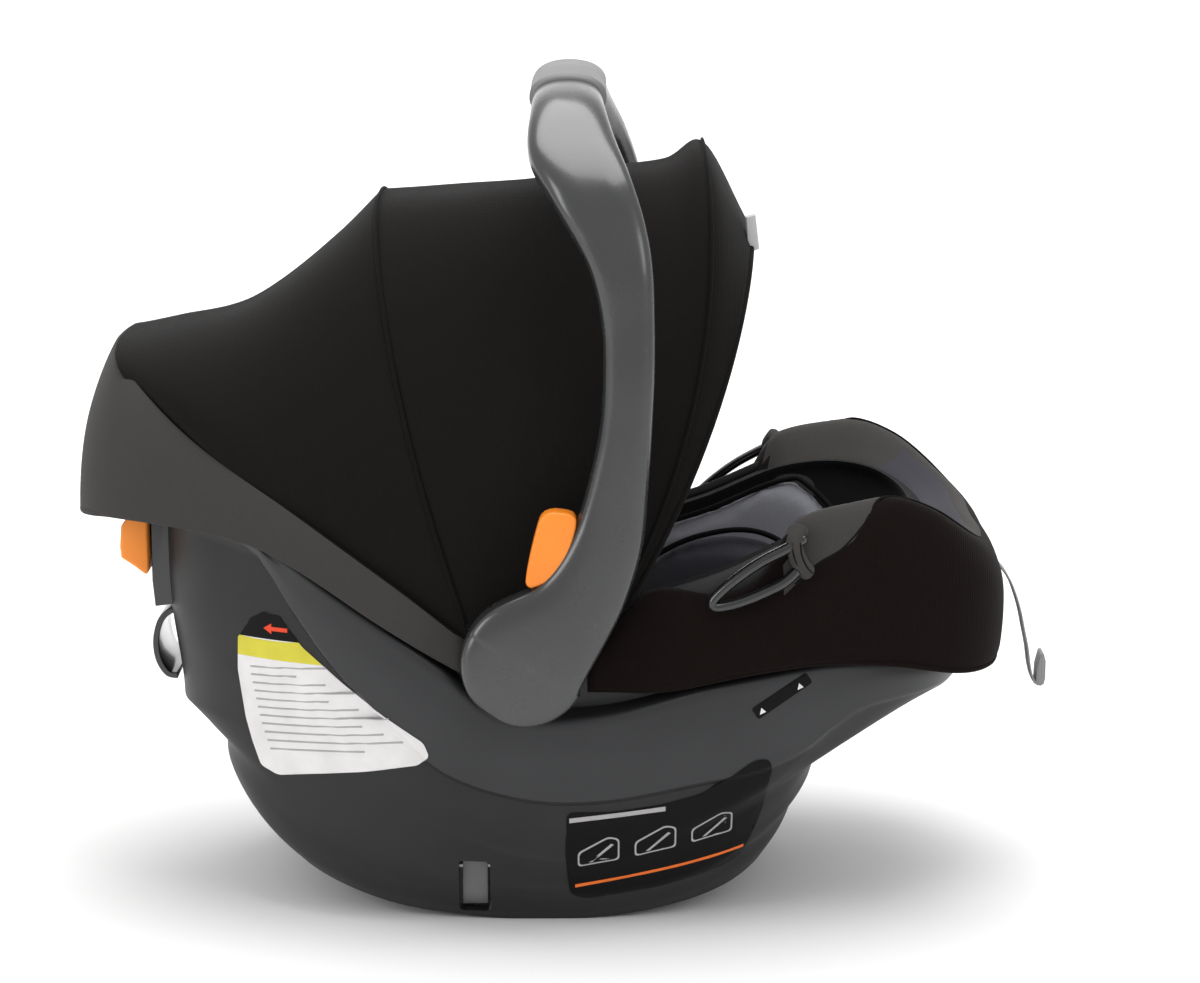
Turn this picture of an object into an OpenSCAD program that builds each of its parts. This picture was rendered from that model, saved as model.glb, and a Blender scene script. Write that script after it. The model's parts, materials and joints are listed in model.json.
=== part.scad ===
// Infant car seat: rocker shell, carry handle, folding canopy, harness and base latches.
// X runs from the head end (-X) to the foot end (+X). The rocker stands on Z = 0.

/* [Shell] */
// Height of the handle's turning axis above the floor
pivot_z = 209; // [200:1:220]
// Half width of the shell's rim beside the handle axis
rim_w = 159; // [145:1:170]
// How far the lower band stands out beyond the rim
band_out = 24; // [20:1:30]
// Half width of the rocker's foot ring
foot_w = 142; // [125:1:150]
// Width of the foot ring that meets the floor
foot_t = 10; // [8:1:14]
// Half width of the bucket's floor
bucket_w = 112; // [100:1:120]
// Thickness of the shell under the bucket's floor
floor_t = 14; // [6:1:18]

/* [Padding] */
// Gap between nested layers
layer_gap = 2; // [1.5:0.1:3]
// Thickness of the foam liner
foam_t = 11; // [8:1:12]
// Thickness of the seat pad
pad_t = 9; // [6:1:10]
// Thickness of the infant cushion
cushion_t = 12; // [8:1:16]
// Thickness of the cover's padded side walls
cover_t = 6; // [4:1:8]
// How far the cover stands out beyond the rim
cover_out = 21; // [19:0.5:22]

/* [Handle] */
// Radius of the round hub at the foot of each arm
hub_r = 45; // [40:1:50]
// Thickness of the hub, across the seat
hub_t = 27; // [24:1:30]
// Gap between the hub and its socket
hub_gap = 1; // [0.5:0.25:2]
// Radius of the fixed socket behind the hub
socket_r = 42; // [38:1:44]
// Thickness of the socket's disc
socket_t = 12; // [10:1:14]
// Radius of the pivot bolt's shank
bolt_r = 6; // [5:0.5:8]
// Radial clearance of a running fit
fit = 0.05; // [0.02:0.01:0.1]
// Half thickness of the handle's arms
arm_h = 13.5; // [11:0.5:14]
// Wall of the hollow handle mouldings
handle_wall = 3; // [2.5:0.5:4]
// Half length of the soft grip
grip_half = 72; // [60:1:80]
// Thickness of the soft grip
grip_t = 3; // [2:0.5:4]
// Travel of the orange triggers
trigger_travel = 6; // [4:1:7]
// Thickness of the orange triggers
trigger_t = 16; // [12:1:20]
// Clearance round the triggers
trigger_gap = 0.8; // [0.5:0.1:1.2]

/* [Canopy] */
// Thickness of the canopy cloth
cloth_t = 2; // [1.5:0.25:3]
// How far the canopy cloth stands out beyond the rim
cloth_out = 11; // [9:0.5:12]
// Width of the flat canopy bows
bow_w = 9; // [6:1:12]
// Thickness of the canopy bows and of their rings
bow_t = 3; // [2.5:0.25:3.5]
// Outer radius of the bows' rings
ring_r = 28; // [25:1:32]
// Radius of the boss that carries the rings
boss_r = 20; // [16:1:22]
// Gap between one ring and the next
ring_gap = 0.4; // [0.3:0.05:0.6]

/* [Harness] */
// Width of the harness webbing
web_w = 30; // [25:1:38]
// Thickness of the webbing
web_t = 2; // [1.5:0.25:2.5]
// Width of the adjuster strap
tail_w = 19; // [16:1:21]
// Length of the buckle housing
buckle_l = 52; // [45:1:65]
// Width of the buckle housing
buckle_w = 56; // [45:1:65]
// Height of the buckle housing
buckle_h = 18; // [16:1:24]
// Travel of the push buttons
button_travel = 3; // [2:0.5:4]

/* [Base latch] */
// Width of each latch hook
hook_w = 18; // [12:1:22]
// Clearance round each latch hook in its window
hook_gap = 2; // [1:0.5:3]
// Radius of the latch pins
latch_pin_r = 2.5; // [2:0.25:3.5]
// Travel of the release lever
lever_travel = 8; // [6:1:9]
// Half width of the release lever
lever_w = 42; // [30:1:50]
// Radius of the lever's guide pin
lever_pin_r = 3; // [2.5:0.25:4]
// Radius of the two bars that the base grips
bar_r = 5; // [4:0.5:6]

/* [Hidden] */
$fn = 64;

steps = 64;                          // points round each loop of the shell
shell_grey = [0.17, 0.17, 0.18];
dark = [0.08, 0.08, 0.09];
orange = [0.95, 0.45, 0.1];
steel = [0.6, 0.6, 0.62];
cloth = [0.12, 0.11, 0.11];
heather = [0.3, 0.3, 0.31];
web_grey = [0.55, 0.55, 0.56];

// Heights and half widths along X, from the head end to the foot end.
rim_z = [[-270, 315], [-200, 300], [-140, 275], [-62, 248], [0, 238], [60, 242], [134, 262],
    [200, 290], [262, 296], [305, 276], [333, 246]];
rim_grow = [[-272, -34], [-200, -19], [-100, -5], [0, 0], [60, 1], [134, 5], [200, 8], [318, 8]];
ledge_z = [[-272, 303], [-202, 286], [-139, 249], [-61, 198], [-42, 181], [-25, 168], [0, 163], [35, 163],
    [67, 167], [124, 182], [167, 190], [217, 197], [270, 194], [323, 180]];
band_grow = [[-274, -44], [-200, -26], [-100, -8], [0, 0], [60, 0], [134, -3], [200, -5],
    [323, -7]];
style_z = [[-274, 290], [-227, 284], [-195, 272], [-170, 236], [-140, 196], [-90, 148],
    [-62, 122], [-5, 103], [53, 101], [125, 115], [168, 130], [240, 139], [321, 141]];
column_z = [[-250, 165], [-200, 152], [-140, 118], [-62, 75], [0, 55], [60, 55], [125, 70],
    [200, 100], [262, 130]];
step_z = [[-227, 153], [-180, 116], [-120, 68], [-60, 44], [0, 35], [60, 36], [120, 52],
    [170, 85], [205, 116]];
low_z = [[-209, 95], [-170, 66], [-120, 38], [-60, 22], [0, 17], [60, 18], [120, 32],
    [160, 54], [190, 80]];
rocker_z = [[-177, 40], [-142, 25], [-93, 10], [-42, 2.5], [-10, 0], [40, 0], [90, 6],
    [134, 16], [160, 26], [170, 34]];
floor_z = [[-235, 262], [-170, 190], [-100, 122], [-30, 74], [30, 62], [90, 78], [160, 118],
    [230, 158], [290, 180]];
cavity_z = [[-190, 70], [-100, 50], [0, 34], [90, 40], [160, 60]];

hub_in = rim_w + band_out + 1 + hub_gap;   // inner face of the handle's hub
socket_out = hub_in - hub_gap;             // outer face of the socket
boss_in = rim_w + 1.5;                     // inner end of the boss, clear of the rim
bolt_out = hub_in + hub_t - 8;             // where the bolt's head starts
cloth_w = rim_w + cloth_out;               // half width of the canopy cloth
cover_w = rim_w + cover_out;               // half width of the seat cover
arm_mid = hub_in + arm_h + 1.5;              // middle of each arm, above the hub

// The handle's centre line from the hub to the top: X, Y, Z and half width.
arm = [[14, arm_mid, 222, 38], [30, arm_mid, 241.5, 32], [46, arm_mid, 266, 28],
    [58.5, arm_mid, 298, 25], [66, arm_mid, 337, 21], [71, arm_mid, 375.5, 18.3],
    [73, arm_mid, 412, 18], [72.5, arm_mid - 1, 449, 18.5], [68, arm_mid - 2, 486, 21.4],
    [59.5, arm_mid - 8, 513, 25], [46.5, arm_mid - 20, 540, 28.6], [34, arm_mid - 45, 563, 31],
    [30.5, 115, 586, 26.5], [30, 60, 594, 24], [30, 0, 596, 24]];
trigger_axis = [0.85, 0, -0.53];     // the way each trigger is pressed

// Canopy arches, front to rear: foot X, foot Z, top X, top Z, forward bulge, half width.
arches = [[62, 230, 164, 492, 14, cloth_w - 3], [60, 236, 131, 553, 26, cloth_w - 2],
    [44, 242, 102, 542, 18, cloth_w - 1], [30, 246, 55, 536, 8, cloth_w],
    [10, 248, 0, 527, 0, cloth_w], [-12, 250, -56, 522, -6, cloth_w],
    [-34, 252, -110, 517, -10, cloth_w], [-64, 254, -148, 484, -8, cloth_w - 1],
    [-116, 284, -212, 437, -4, cloth_w - 3], [-198, 344, -272, 421, 0, cloth_w - 10],
    [-282, 404, -303, 416, 0, cloth_w - 34]];
mid_arch = 6;
mid_angle = 110;
front_angle = 68;

// The adjuster strap's route, and where its folded end begins.
tail_y = -20;
tail_points = [[327.5, tail_y, 246], [337, tail_y, 246], [345, tail_y, 244.5],
    [354, tail_y, 238], [361, tail_y, 228], [366, tail_y, 216], [370, tail_y, 203],
    [373, tail_y, 189], [376, tail_y, 175], [378, tail_y, 161], [381, tail_y, 150],
    [385, tail_y, 146.5]];

function power(v, e) = sign(v) * pow(abs(v), e);
function span(p, x, i = 0) = i >= len(p) - 2 || x < p[i + 1][0] ? i : span(p, x, i + 1);
function slope(p, i) =
    let (a = max(i - 1, 0), b = min(i + 1, len(p) - 1)) (p[b][1] - p[a][1]) / (p[b][0] - p[a][0]);
// Smooth curve through the points p, held level beyond both ends.
function curve(p, at) =
    let (x = min(max(at, p[0][0]), p[len(p) - 1][0]), i = span(p, x), h = p[i + 1][0] - p[i][0],
        t = (x - p[i][0]) / h, u = 1 - t)
    p[i][1] * u * u * (1 + 2 * t) + p[i + 1][1] * t * t * (3 - 2 * t)
        + h * t * u * (slope(p, i) * u - slope(p, i + 1) * t);
// Reach of a squared-off unit circle in the direction a.
function reach(a) = 1 / pow(pow(abs(cos(a)), 3) + pow(abs(sin(a)), 3), 1 / 3);
function squeeze(x, xa, xb) = pow(max(1 - pow(abs((2 * x - xa - xb) / (xb - xa)), 3), 0), 1 / 3);
// Closed loop from xa to xb, seen clockwise from above, and never below the floor.
function ring(xa, xb, w, grow, z, lift = 0) = [
    for (k = [0 : steps - 1])
        let (a = 360 * k / steps,
            x = (xa + xb) / 2 - (xb - xa) / 2 * reach(a) * cos(a))
        [x, (w + curve(grow, x)) * reach(a) * sin(a), max(curve(z, x) + lift, 0)]];
none = [[-1, 0], [1, 0]];

// Loops of the bucket's surface, drawn in by g.
function bucket_floor(g) = ring(-222 + g, 262 - g, bucket_w - g, none, floor_z, g);
function bucket_side(g) = ring(-240 + g, 286 - g, bucket_w + 18 - g, none, floor_z, 14 + g);
function bucket_top(g, drop) = ring(-264 + g, 310 - g, rim_w - 8 - g, rim_grow, rim_z, -drop);

module loft(loops) {
    m = len(loops[0]);
    last = len(loops) - 1;
    half = m / 2;
    function strip(base, flip) = [
        for (k = [0 : half - 1])
            let (q = k == 0 ? [0, 1, m - 1] : k == half - 1 ? [k, k + 1, k + 2]
                : [k, k + 1, m - k - 1, m - k])
            flip ? [for (j = [len(q) - 1 : -1 : 0]) base + q[j]] : [for (j = q) base + j]];
    walls = [
        for (i = [0 : last - 1], k = [0 : m - 1], s = [0, 1])
            let (a = i * m + k, b = i * m + (k + 1) % m, c = k < half ? b : b + m,
                d = k < half ? a + m : a)
            s == 0 ? [a, a + m, c] : [d, b + m, b]];
    polyhedron([for (l = loops) each l], concat(strip(0, false), walls, strip(last * m, true)));
}

// Closed solid between two grids of points with the same rows and columns.
module thick_sheet(top, under) {
    rows = len(top);
    cols = len(top[0]);
    size = rows * cols;
    function at(i, j, s) = s * size + i * cols + j;
    faces = [
        for (i = [0 : rows - 2], j = [0 : cols - 2])
            each [[at(i, j, 0), at(i + 1, j, 0), at(i + 1, j + 1, 0)],
                [at(i, j, 0), at(i + 1, j + 1, 0), at(i, j + 1, 0)],
                [at(i, j, 1), at(i + 1, j + 1, 1), at(i + 1, j, 1)],
                [at(i, j, 1), at(i, j + 1, 1), at(i + 1, j + 1, 1)]]];
    long_edges = [
        for (i = [0 : rows - 2])
            each [[at(i, 0, 0), at(i, 0, 1), at(i + 1, 0, 1), at(i + 1, 0, 0)],
                [at(i, cols - 1, 0), at(i + 1, cols - 1, 0), at(i + 1, cols - 1, 1),
                    at(i, cols - 1, 1)]]];
    short_edges = [
        for (j = [0 : cols - 2])
            each [[at(0, j, 0), at(0, j + 1, 0), at(0, j + 1, 1), at(0, j, 1)],
                [at(rows - 1, j, 0), at(rows - 1, j, 1), at(rows - 1, j + 1, 1),
                    at(rows - 1, j + 1, 0)]]];
    points = concat([for (r = top) each r], [for (r = under) each r]);
    polyhedron(points, concat(faces, long_edges, short_edges));
}

// Rounded section swept along points p, with width vectors w and height vectors h.
module ribbon(p, w, h) {
    thick_sheet([for (i = [0 : len(p) - 1]) [p[i] + w[i] + h[i], p[i] - w[i] + h[i]]],
        [for (i = [0 : len(p) - 1]) [p[i] + w[i] - h[i], p[i] - w[i] - h[i]]]);
}

module to_side(side) {
    if (side > 0) children();
    else mirror([0, 1, 0]) children();
}

// Solid turned about the handle axis from an outline of radius and Y.
module turned(outline)
    translate([0, 0, pivot_z]) rotate([-90, 0, 0]) rotate_extrude() polygon(outline);

// Outline in X and Z, from y0 to y1.
module slab(outline, y0, y1)
    translate([0, y1, 0]) rotate([90, 0, 0]) linear_extrude(y1 - y0) polygon(outline);

module block(lo, hi) translate(lo) cube(hi - lo);

module cross_pin(x, z, r, y0, y1) translate([x, y0, z]) rotate([-90, 0, 0]) cylinder(r = r, h = y1 - y0);

// ---- Shell and base latch ----

latch_x = -38;
latch_y = foot_w - 4;
latch_z = 40;
latch_low = 11;

module shell() color(shell_grey) difference() {
    loft([bucket_floor(0), bucket_side(0), bucket_top(0, 24), bucket_top(-2, 3),
        ring(-267, 314, rim_w - 3, rim_grow, rim_z), ring(-270, 318, rim_w, rim_grow, rim_z, -4),
        ring(-272, 319, rim_w + 0.5, rim_grow, ledge_z, 2),
        ring(-274, 323, rim_w + band_out - 2, band_grow, ledge_z),
        ring(-275, 324, rim_w + band_out, band_grow, ledge_z, -4),
        ring(-274, 322, rim_w + band_out, band_grow, style_z, 1),
        ring(-272, 318, rim_w + band_out - 5, band_grow, style_z, -3),
        ring(-250, 262, rim_w + band_out - 12, band_grow, column_z),
        ring(-227, 205, foot_w + 18, none, step_z), ring(-209, 190, foot_w + 8, none, low_z),
        ring(-177, 170, foot_w, none, rocker_z),
        ring(-177 + foot_t, 170 - foot_t, foot_w - foot_t, none, rocker_z),
        ring(-185, 160, foot_w - 6, none, cavity_z),
        ring(-215, 190, bucket_w, none, floor_z, -floor_t)]);
    for (side = [-1, 1]) to_side(side) {
        block([latch_x - hook_w / 2 - hook_gap, latch_y - 22, latch_low - hook_gap],
            [latch_x + hook_w / 2 + hook_gap, latch_y + 30, latch_z + 10]);
        translate([latch_x - hook_w, latch_y, latch_z])
            rotate([0, 90, 0]) cylinder(r = latch_pin_r, h = 2 * hook_w);
    }
}

module latch_hook(side) color(web_grey) to_side(side) difference() {
    translate([latch_x - hook_w / 2, 0, 0]) rotate([90, 0, 90]) linear_extrude(hook_w)
        polygon([[latch_y - 6, latch_z + 5], [latch_y + 5, latch_z + 5], [latch_y + 5, latch_z - 18],
            [latch_y + 1, latch_low], [latch_y - 10, latch_low], [latch_y - 10, latch_low + 5],
            [latch_y - 4, latch_low + 8], [latch_y - 6, latch_z - 14]]);
    translate([latch_x - hook_w, latch_y, latch_z])
        rotate([0, 90, 0]) cylinder(r = latch_pin_r + fit, h = 2 * hook_w);
}

module latch_hook_left() latch_hook(1);
module latch_hook_right() latch_hook(-1);

module latch_pins() color(steel) for (side = [-1, 1])
    to_side(side) translate([latch_x - hook_w + 1, latch_y, latch_z])
        rotate([0, 90, 0]) cylinder(r = latch_pin_r, h = 2 * hook_w - 2);

module base_bars() color(steel) for (x = [-112, 100]) cross_pin(x, 38, bar_r, -124, 124);

// ---- Release lever at the head end ----

lever_back = -284;
lever_front = -304;
bracket_top = 295;
pin_z = 262;
pin_x = -291;
pin_room = lever_pin_r + 0.4;        // half width of the slot that guides the pin

module release_bracket() color(dark) difference() {
    union() {
        slab([[-277, 204], [-281, 204], [-281.5, 229], [-281.5, bracket_top], [-277, bracket_top]],
            -lever_w - 8, lever_w + 8);
        slab([[-280, bracket_top - 2.5], [-300, bracket_top - 2.5], [-300, bracket_top],
            [-280, bracket_top]], -lever_w - 8, lever_w + 8);
        for (side = [-1, 1]) to_side(side)
            slab([[-280, pin_z - 16], [-296, pin_z - 12], [-300, pin_z + 10], [-300, bracket_top - 1],
                [-280, bracket_top - 1]], lever_w + 3, lever_w + 8);
    }
    for (z = [pin_z, pin_z + lever_travel]) cross_pin(pin_x, z, pin_room, -lever_w - 9, lever_w + 9);
    block([pin_x - pin_room, -lever_w - 9, pin_z], [pin_x + pin_room, lever_w + 9, pin_z + lever_travel]);
}

module release_lever() color(orange) difference() {
    slab([[lever_back, pin_z + 15], [-300, pin_z + 18], [-303, pin_z + 14], [lever_front, pin_z - 9],
        [-300, pin_z - 19], [-288, pin_z - 23], [lever_back, pin_z - 18]], -lever_w, lever_w);
    slab([[lever_back + 1, pin_z - 14], [-298, pin_z - 12], [-299, pin_z - 8],
        [lever_back + 1, pin_z - 7]], -lever_w + 8, lever_w - 8);
    cross_pin(pin_x, pin_z, lever_pin_r + fit, -lever_w - 1, lever_w + 1);
}

module release_pin() color(steel) cross_pin(pin_x, pin_z, lever_pin_r, -lever_w - 7, lever_w + 7);

// Coil of wire wound about Z from z0 to z1.
module coil(x, y, z0, z1, r, wire, turns) {
    count = turns * 10;
    rings = [
        for (i = [0 : count])
            let (a = 36 * i, z = z0 + wire + (z1 - z0 - 2 * wire) * i / count)
            [for (k = [0 : 5])
                let (b = -60 * k)
                [x + (r + wire * cos(b)) * cos(a), y + (r + wire * cos(b)) * sin(a),
                    z + wire * sin(b)]]];
    faces = [
        for (i = [0 : count - 1], k = [0 : 5], s = [0, 1])
            let (a = i * 6 + k, b = i * 6 + (k + 1) % 6)
            s == 0 ? [a, a + 6, b + 6] : [a, b + 6, b]];
    polyhedron([for (l = rings) each l],
        concat([[0, 1, 2, 3, 4, 5]], faces, [[for (k = [5 : -1 : 0]) count * 6 + k]]));
}

module release_spring() color(steel) coil(-290, 0, pin_z + 18.4, bracket_top - 2.7, 5, 0.6, 4);

module shoulder_belt_guide() color(dark)
    slab([[-261, 203], [-277, 203], [-283, 176], [-276, 156], [-270, 156], [-268, 160], [-273, 162],
        [-277, 176], [-272, 195], [-261, 195]], -38, 38);

// ---- Padding ----

module foam_liner() color([0.85, 0.85, 0.85])
    loft([bucket_floor(layer_gap + foam_t), bucket_side(layer_gap + foam_t),
        bucket_top(layer_gap + foam_t, 24), bucket_top(layer_gap + foam_t, 12),
        bucket_top(layer_gap, 12), bucket_top(layer_gap, 24), bucket_side(layer_gap),
        bucket_floor(layer_gap)]);

pad_out = 2 * layer_gap + foam_t;
pad_in = pad_out + pad_t;

module seat_pad() color(cloth)
    loft([bucket_floor(pad_in), bucket_side(pad_in), bucket_top(pad_in, 24), bucket_top(pad_in, 7),
        bucket_top(pad_out, 7), bucket_top(pad_out, 24), bucket_side(pad_out), bucket_floor(pad_out)]);

// Half of the bucket's section at x, drawn in by g, from the middle to the height fraction up.
function bucket_half(x, g, up) =
    let (f1 = squeeze(x, -222 + g, 262 - g), f2 = squeeze(x, -240 + g, 286 - g),
        f3 = squeeze(x, -264 + g, 310 - g), y1 = (bucket_w - g) * f1, y2 = (bucket_w + 18 - g) * f2,
        y3 = (rim_w - 8 - g + curve(rim_grow, x)) * f3, z = curve(floor_z, x),
        z2 = z + 14 + g, z3 = curve(rim_z, x) - 24)
    [[x, 0, z + g], [x, y1 * 0.6, z + g], [x, y1, z + g], [x, y2, z2],
        [x, y2 + (y3 - y2) * up, z2 + (z3 - z2) * up]];
function mirrored(h) = concat([for (i = [len(h) - 1 : -1 : 1]) [h[i][0], -h[i][1], h[i][2]]], h);

module trough(xa, xb, g, t, up) {
    xs = [for (i = [0 : 10]) xa + (xb - xa) * i / 10];
    thick_sheet([for (i = [10 : -1 : 0]) mirrored(bucket_half(xs[i], g + t, up))],
        [for (i = [10 : -1 : 0]) mirrored(bucket_half(xs[i], g, up))]);
}

module body_cushion() color(heather) difference() {
    trough(-95, 190, pad_in + layer_gap, cushion_t, 0.8);
    block([crotch_x - 2, -web_w / 2 - 2, 60], [crotch_x + web_t + 2, web_w / 2 + 2, 140]);
}
module head_pillow() color(heather) trough(-180, -124, pad_in + layer_gap, cushion_t + 4, 0.55);

// Half ring of cover round the foot end: foot X, end X, half width, lower and upper edge.
guide_peg = [193, 290];              // X and Z of the pegs that hold the belt guides
guide_peg_r = 3.5;
cover_low = [[56, 183], [96, 183], [124, 188], [167, 197], [216, 205], [266, 202], [326, 195],
    [341, 196]];
cover_high = [[56, 205], [88, 250], [138, 247], [166, 256], [194, 294], [236, 307], [264, 309],
    [307, 291], [325, 276], [341, 258]];
trim_low = [[-341, 288], [-320, 305], [-298, 307], [-255, 300], [-199, 287], [-160, 268],
    [-104, 230], [-61, 203], [-52, 198]];
trim_high = [[-341, 412], [-300, 412], [-287, 396], [-235, 354], [-165, 307], [-95, 256],
    [-52, 216]];

// Wall that wraps one end of the seat from x0 to its far end xe, between two heights.
function wrap(x0, xe, w, low, high, lean, cols = 32, rows = 5) = [
    for (i = [0 : rows])
        let (v = i / rows, end = xe + lean * v * v)
        [for (j = [0 : cols])
            let (a = 180 * j / cols, x = x0 + (end - x0) * reach(a) * sin(a))
            [x, -w * reach(a) * cos(a), curve(low, x) * (1 - v) + curve(high, x) * v]]];

module seat_cover() color(cloth) difference() {
    thick_sheet(wrap(56, 341, cover_w, cover_low, cover_high, 0),
        wrap(56 + layer_gap, 341 - cover_t, cover_w - cover_t, cover_low, cover_high, 0));
    block([320, tail_y - tail_w / 2 - 6, 236], [345, tail_y + tail_w / 2 + 6, 254]);
    cross_pin(guide_peg[0], guide_peg[1], guide_peg_r + 0.5, -cover_w - 20, cover_w + 20);
}

module canopy_trim() color(heather)
    thick_sheet(wrap(-52 - 1, -341 + 3, cloth_w - 4, trim_low, trim_high, 35),
        wrap(-52, -341, cloth_w - 1, trim_low, trim_high, 36));

// ---- Harness ----

strap_lift = pad_in + 2 * layer_gap + cushion_t + 1;
strap_xs = [for (i = [0 : 10]) -118 + 15 * i];
function strap_y(x) = 40 - 0.15 * (x + 118);
function strap_point(x, lift) = [x, strap_y(x), curve(floor_z, x) + strap_lift + lift];

module strap_strip(side, x0, x1, lift, half_t, half_w) to_side(side) {
    xs = [for (x = strap_xs) if (x >= x0 && x <= x1) x];
    ribbon([for (x = xs) strap_point(x, lift)], [for (x = xs) [0, half_w, 0]],
        [for (x = xs) [0, 0, half_t]]);
}

module harness_strap_left() color(web_grey) strap_strip(1, -118, 32, web_t / 2, web_t / 2, web_w / 2);
module harness_strap_right() color(web_grey) strap_strip(-1, -118, 32, web_t / 2, web_t / 2, web_w / 2);
module shoulder_pad_left() color(cloth) strap_strip(1, -103, -40, web_t + 3.6, 3, web_w / 2 + 4);
module shoulder_pad_right() color(cloth) strap_strip(-1, -103, -40, web_t + 3.6, 3, web_w / 2 + 4);

buckle_x = 22;
buckle_z = curve(floor_z, buckle_x + buckle_l) + strap_lift + web_t;

module buckle_housing() color(dark) difference() {
    hull() for (x = [buckle_x + 8, buckle_x + buckle_l - 8], y = [-1, 1])
        translate([x, y * (buckle_w / 2 - 8), buckle_z]) cylinder(r = 8, h = buckle_h, $fn = 32);
    block([buckle_x - 1, -buckle_w / 2 + 8, buckle_z + 5], [buckle_x + 24, buckle_w / 2 - 8, buckle_z + 9]);
    block([buckle_x + 18, -13, buckle_z + 9], [buckle_x + 44, 13, buckle_z + buckle_h + 1]);
}

module buckle_tongues() color(steel) for (side = [-1, 1]) to_side(side)
    difference() {
        block([buckle_x - 22, 1, buckle_z + 5.5], [buckle_x + 16, 18, buckle_z + 8.5]);
        block([buckle_x - 18, 4, buckle_z + 5], [buckle_x - 12, 15, buckle_z + 9]);
    }

module buckle_button() color([0.75, 0.1, 0.08])
    block([buckle_x + 18.8, -12.2, buckle_z + 9 + button_travel + 0.5],
        [buckle_x + 43.2, 12.2, buckle_z + buckle_h + button_travel - 1.5]);

crotch_x = 66;

module crotch_strap() color(web_grey)
    block([crotch_x, -web_w / 2, curve(floor_z, crotch_x) + pad_in + 1],
        [crotch_x + web_t, web_w / 2, buckle_z - 0.5]);

module crotch_pad() color(cloth)
    block([buckle_x + buckle_l + 1, -web_w / 2 - 4, curve(floor_z, 80) + strap_lift + 1],
        [buckle_x + buckle_l + 6, web_w / 2 + 4, buckle_z + 14]);

clip_x = -22;
clip_z = curve(floor_z, clip_x - 18) + strap_lift + web_t + 0.5;

module chest_clip(side) color(dark) to_side(side)
    difference() {
        hull() for (x = [clip_x - 12, clip_x + 12], y = [5, 34])
            translate([x, y, clip_z]) cylinder(r = 4.5, h = 9, $fn = 32);
        block([clip_x - 9, -1, clip_z + 3], [clip_x + 9, 9.5, clip_z + 10]);
    }

module chest_clip_left() chest_clip(1);
module chest_clip_right() chest_clip(-1);
module chest_clip_button() color(orange)
    block([clip_x - 8, -8.5, clip_z + 3.5 + button_travel], [clip_x + 8, 8.5, clip_z + 7 + button_travel]);

button_half = 7.4;                   // half width of the adjuster's button
button_gap = 0.6;                    // gap round the push buttons

module adjuster_housing() color(dark) difference() {
    block([324, tail_y - tail_w / 2 - 5, 237.5], [341, tail_y + tail_w / 2 + 5, 252.5]);
    block([327, tail_y - tail_w / 2 - 1, 243.5], [343, tail_y + tail_w / 2 + 1, 248.5]);
    block([326, tail_y - button_half - button_gap, 248], [333.5, tail_y + button_half + button_gap, 253]);
}

module adjuster_button() color(orange)
    block([326 + button_gap, tail_y - button_half, 248 + button_gap + button_travel],
        [333.5 - button_gap, tail_y + button_half, 253.4 + button_travel]);

module adjuster_strap() color(web_grey) {
    n = len(tail_points) - 1;
    way = [for (i = [0 : n]) tail_points[min(i + 1, n)] - tail_points[max(i - 1, 0)]];
    ribbon(tail_points, [for (i = [0 : n]) [0, tail_w / 2, 0]],
        [for (v = way) [-v[2], 0, v[0]] / norm(v) * web_t / 2]);
}

module adjuster_tab() color(web_grey)
    slab([[386, 144.5], [389, 147], [390, 166], [388.5, 172], [386.5, 170], [386, 150]],
        tail_y - tail_w / 2, tail_y + tail_w / 2);

module under_seat_web() color(web_grey) {
    xs = [for (i = [0 : 8]) -80 + 25 * i];
    ribbon([for (x = xs) [x, 0, curve(floor_z, x) - floor_t - 6]], [for (x = xs) [0, tail_w / 2, 0]],
        [for (x = xs) [0, 0, web_t / 2]]);
}

module splitter_plate() color(steel) difference() {
    slab([[-8, -1], [32, -1], [32, 1.5], [-8, 1.5]] + [for (i = [0 : 3]) [0, 36]], -30, 30);
    block([-2, -20, 30], [3, 20, 40]);
    block([20, -20, 30], [25, 20, 40]);
}

// ---- Vehicle belt guides ----

module belt_guide(side) color(dark) to_side(side) {
    slab([[199, 296], [189, 296], [160, 279], [134, 259], [130, 250], [137, 243], [154, 244],
        [182, 259], [196, 262], [196, 269], [180, 266], [153, 251], [141, 250], [139, 254],
        [164, 272], [192, 288], [199, 288]], cover_w + 1, cover_w + 7);
    cross_pin(guide_peg[0], guide_peg[1], guide_peg_r, cover_w - 13, cover_w + 2);
}

module belt_guide_left() belt_guide(1);
module belt_guide_right() belt_guide(-1);

// ---- Handle pivots ----

screw_at = 30;

module socket(side) color(shell_grey) to_side(side) difference() {
    turned([[bolt_r + fit, boss_in], [boss_r, boss_in], [boss_r, socket_out - socket_t],
        [socket_r, socket_out - socket_t], [socket_r, socket_out - 1], [socket_r - 1, socket_out],
        [bolt_r + fit, socket_out]]);
    for (k = [0 : 2]) rotate_about_axis(90 + 120 * k)
        cross_pin(screw_at, 0, 4, socket_out - 4, socket_out + 1);
    for (k = [0 : 2]) rotate_about_axis(90 + 120 * k)
        cross_pin(screw_at, 0, 2, socket_out - socket_t - 1, socket_out);
}

module rotate_about_axis(a) translate([0, 0, pivot_z]) rotate([0, a, 0]) children();

module socket_left() socket(1);
module socket_right() socket(-1);

module socket_screws() color(steel) for (side = [-1, 1]) to_side(side)
    for (k = [0 : 2]) rotate_about_axis(90 + 120 * k) {
        cross_pin(screw_at, 0, 3.8, socket_out - 3.9, socket_out - 1);
        cross_pin(screw_at, 0, 1.9, socket_out - socket_t + 0.2, socket_out - 3);
    }

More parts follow.
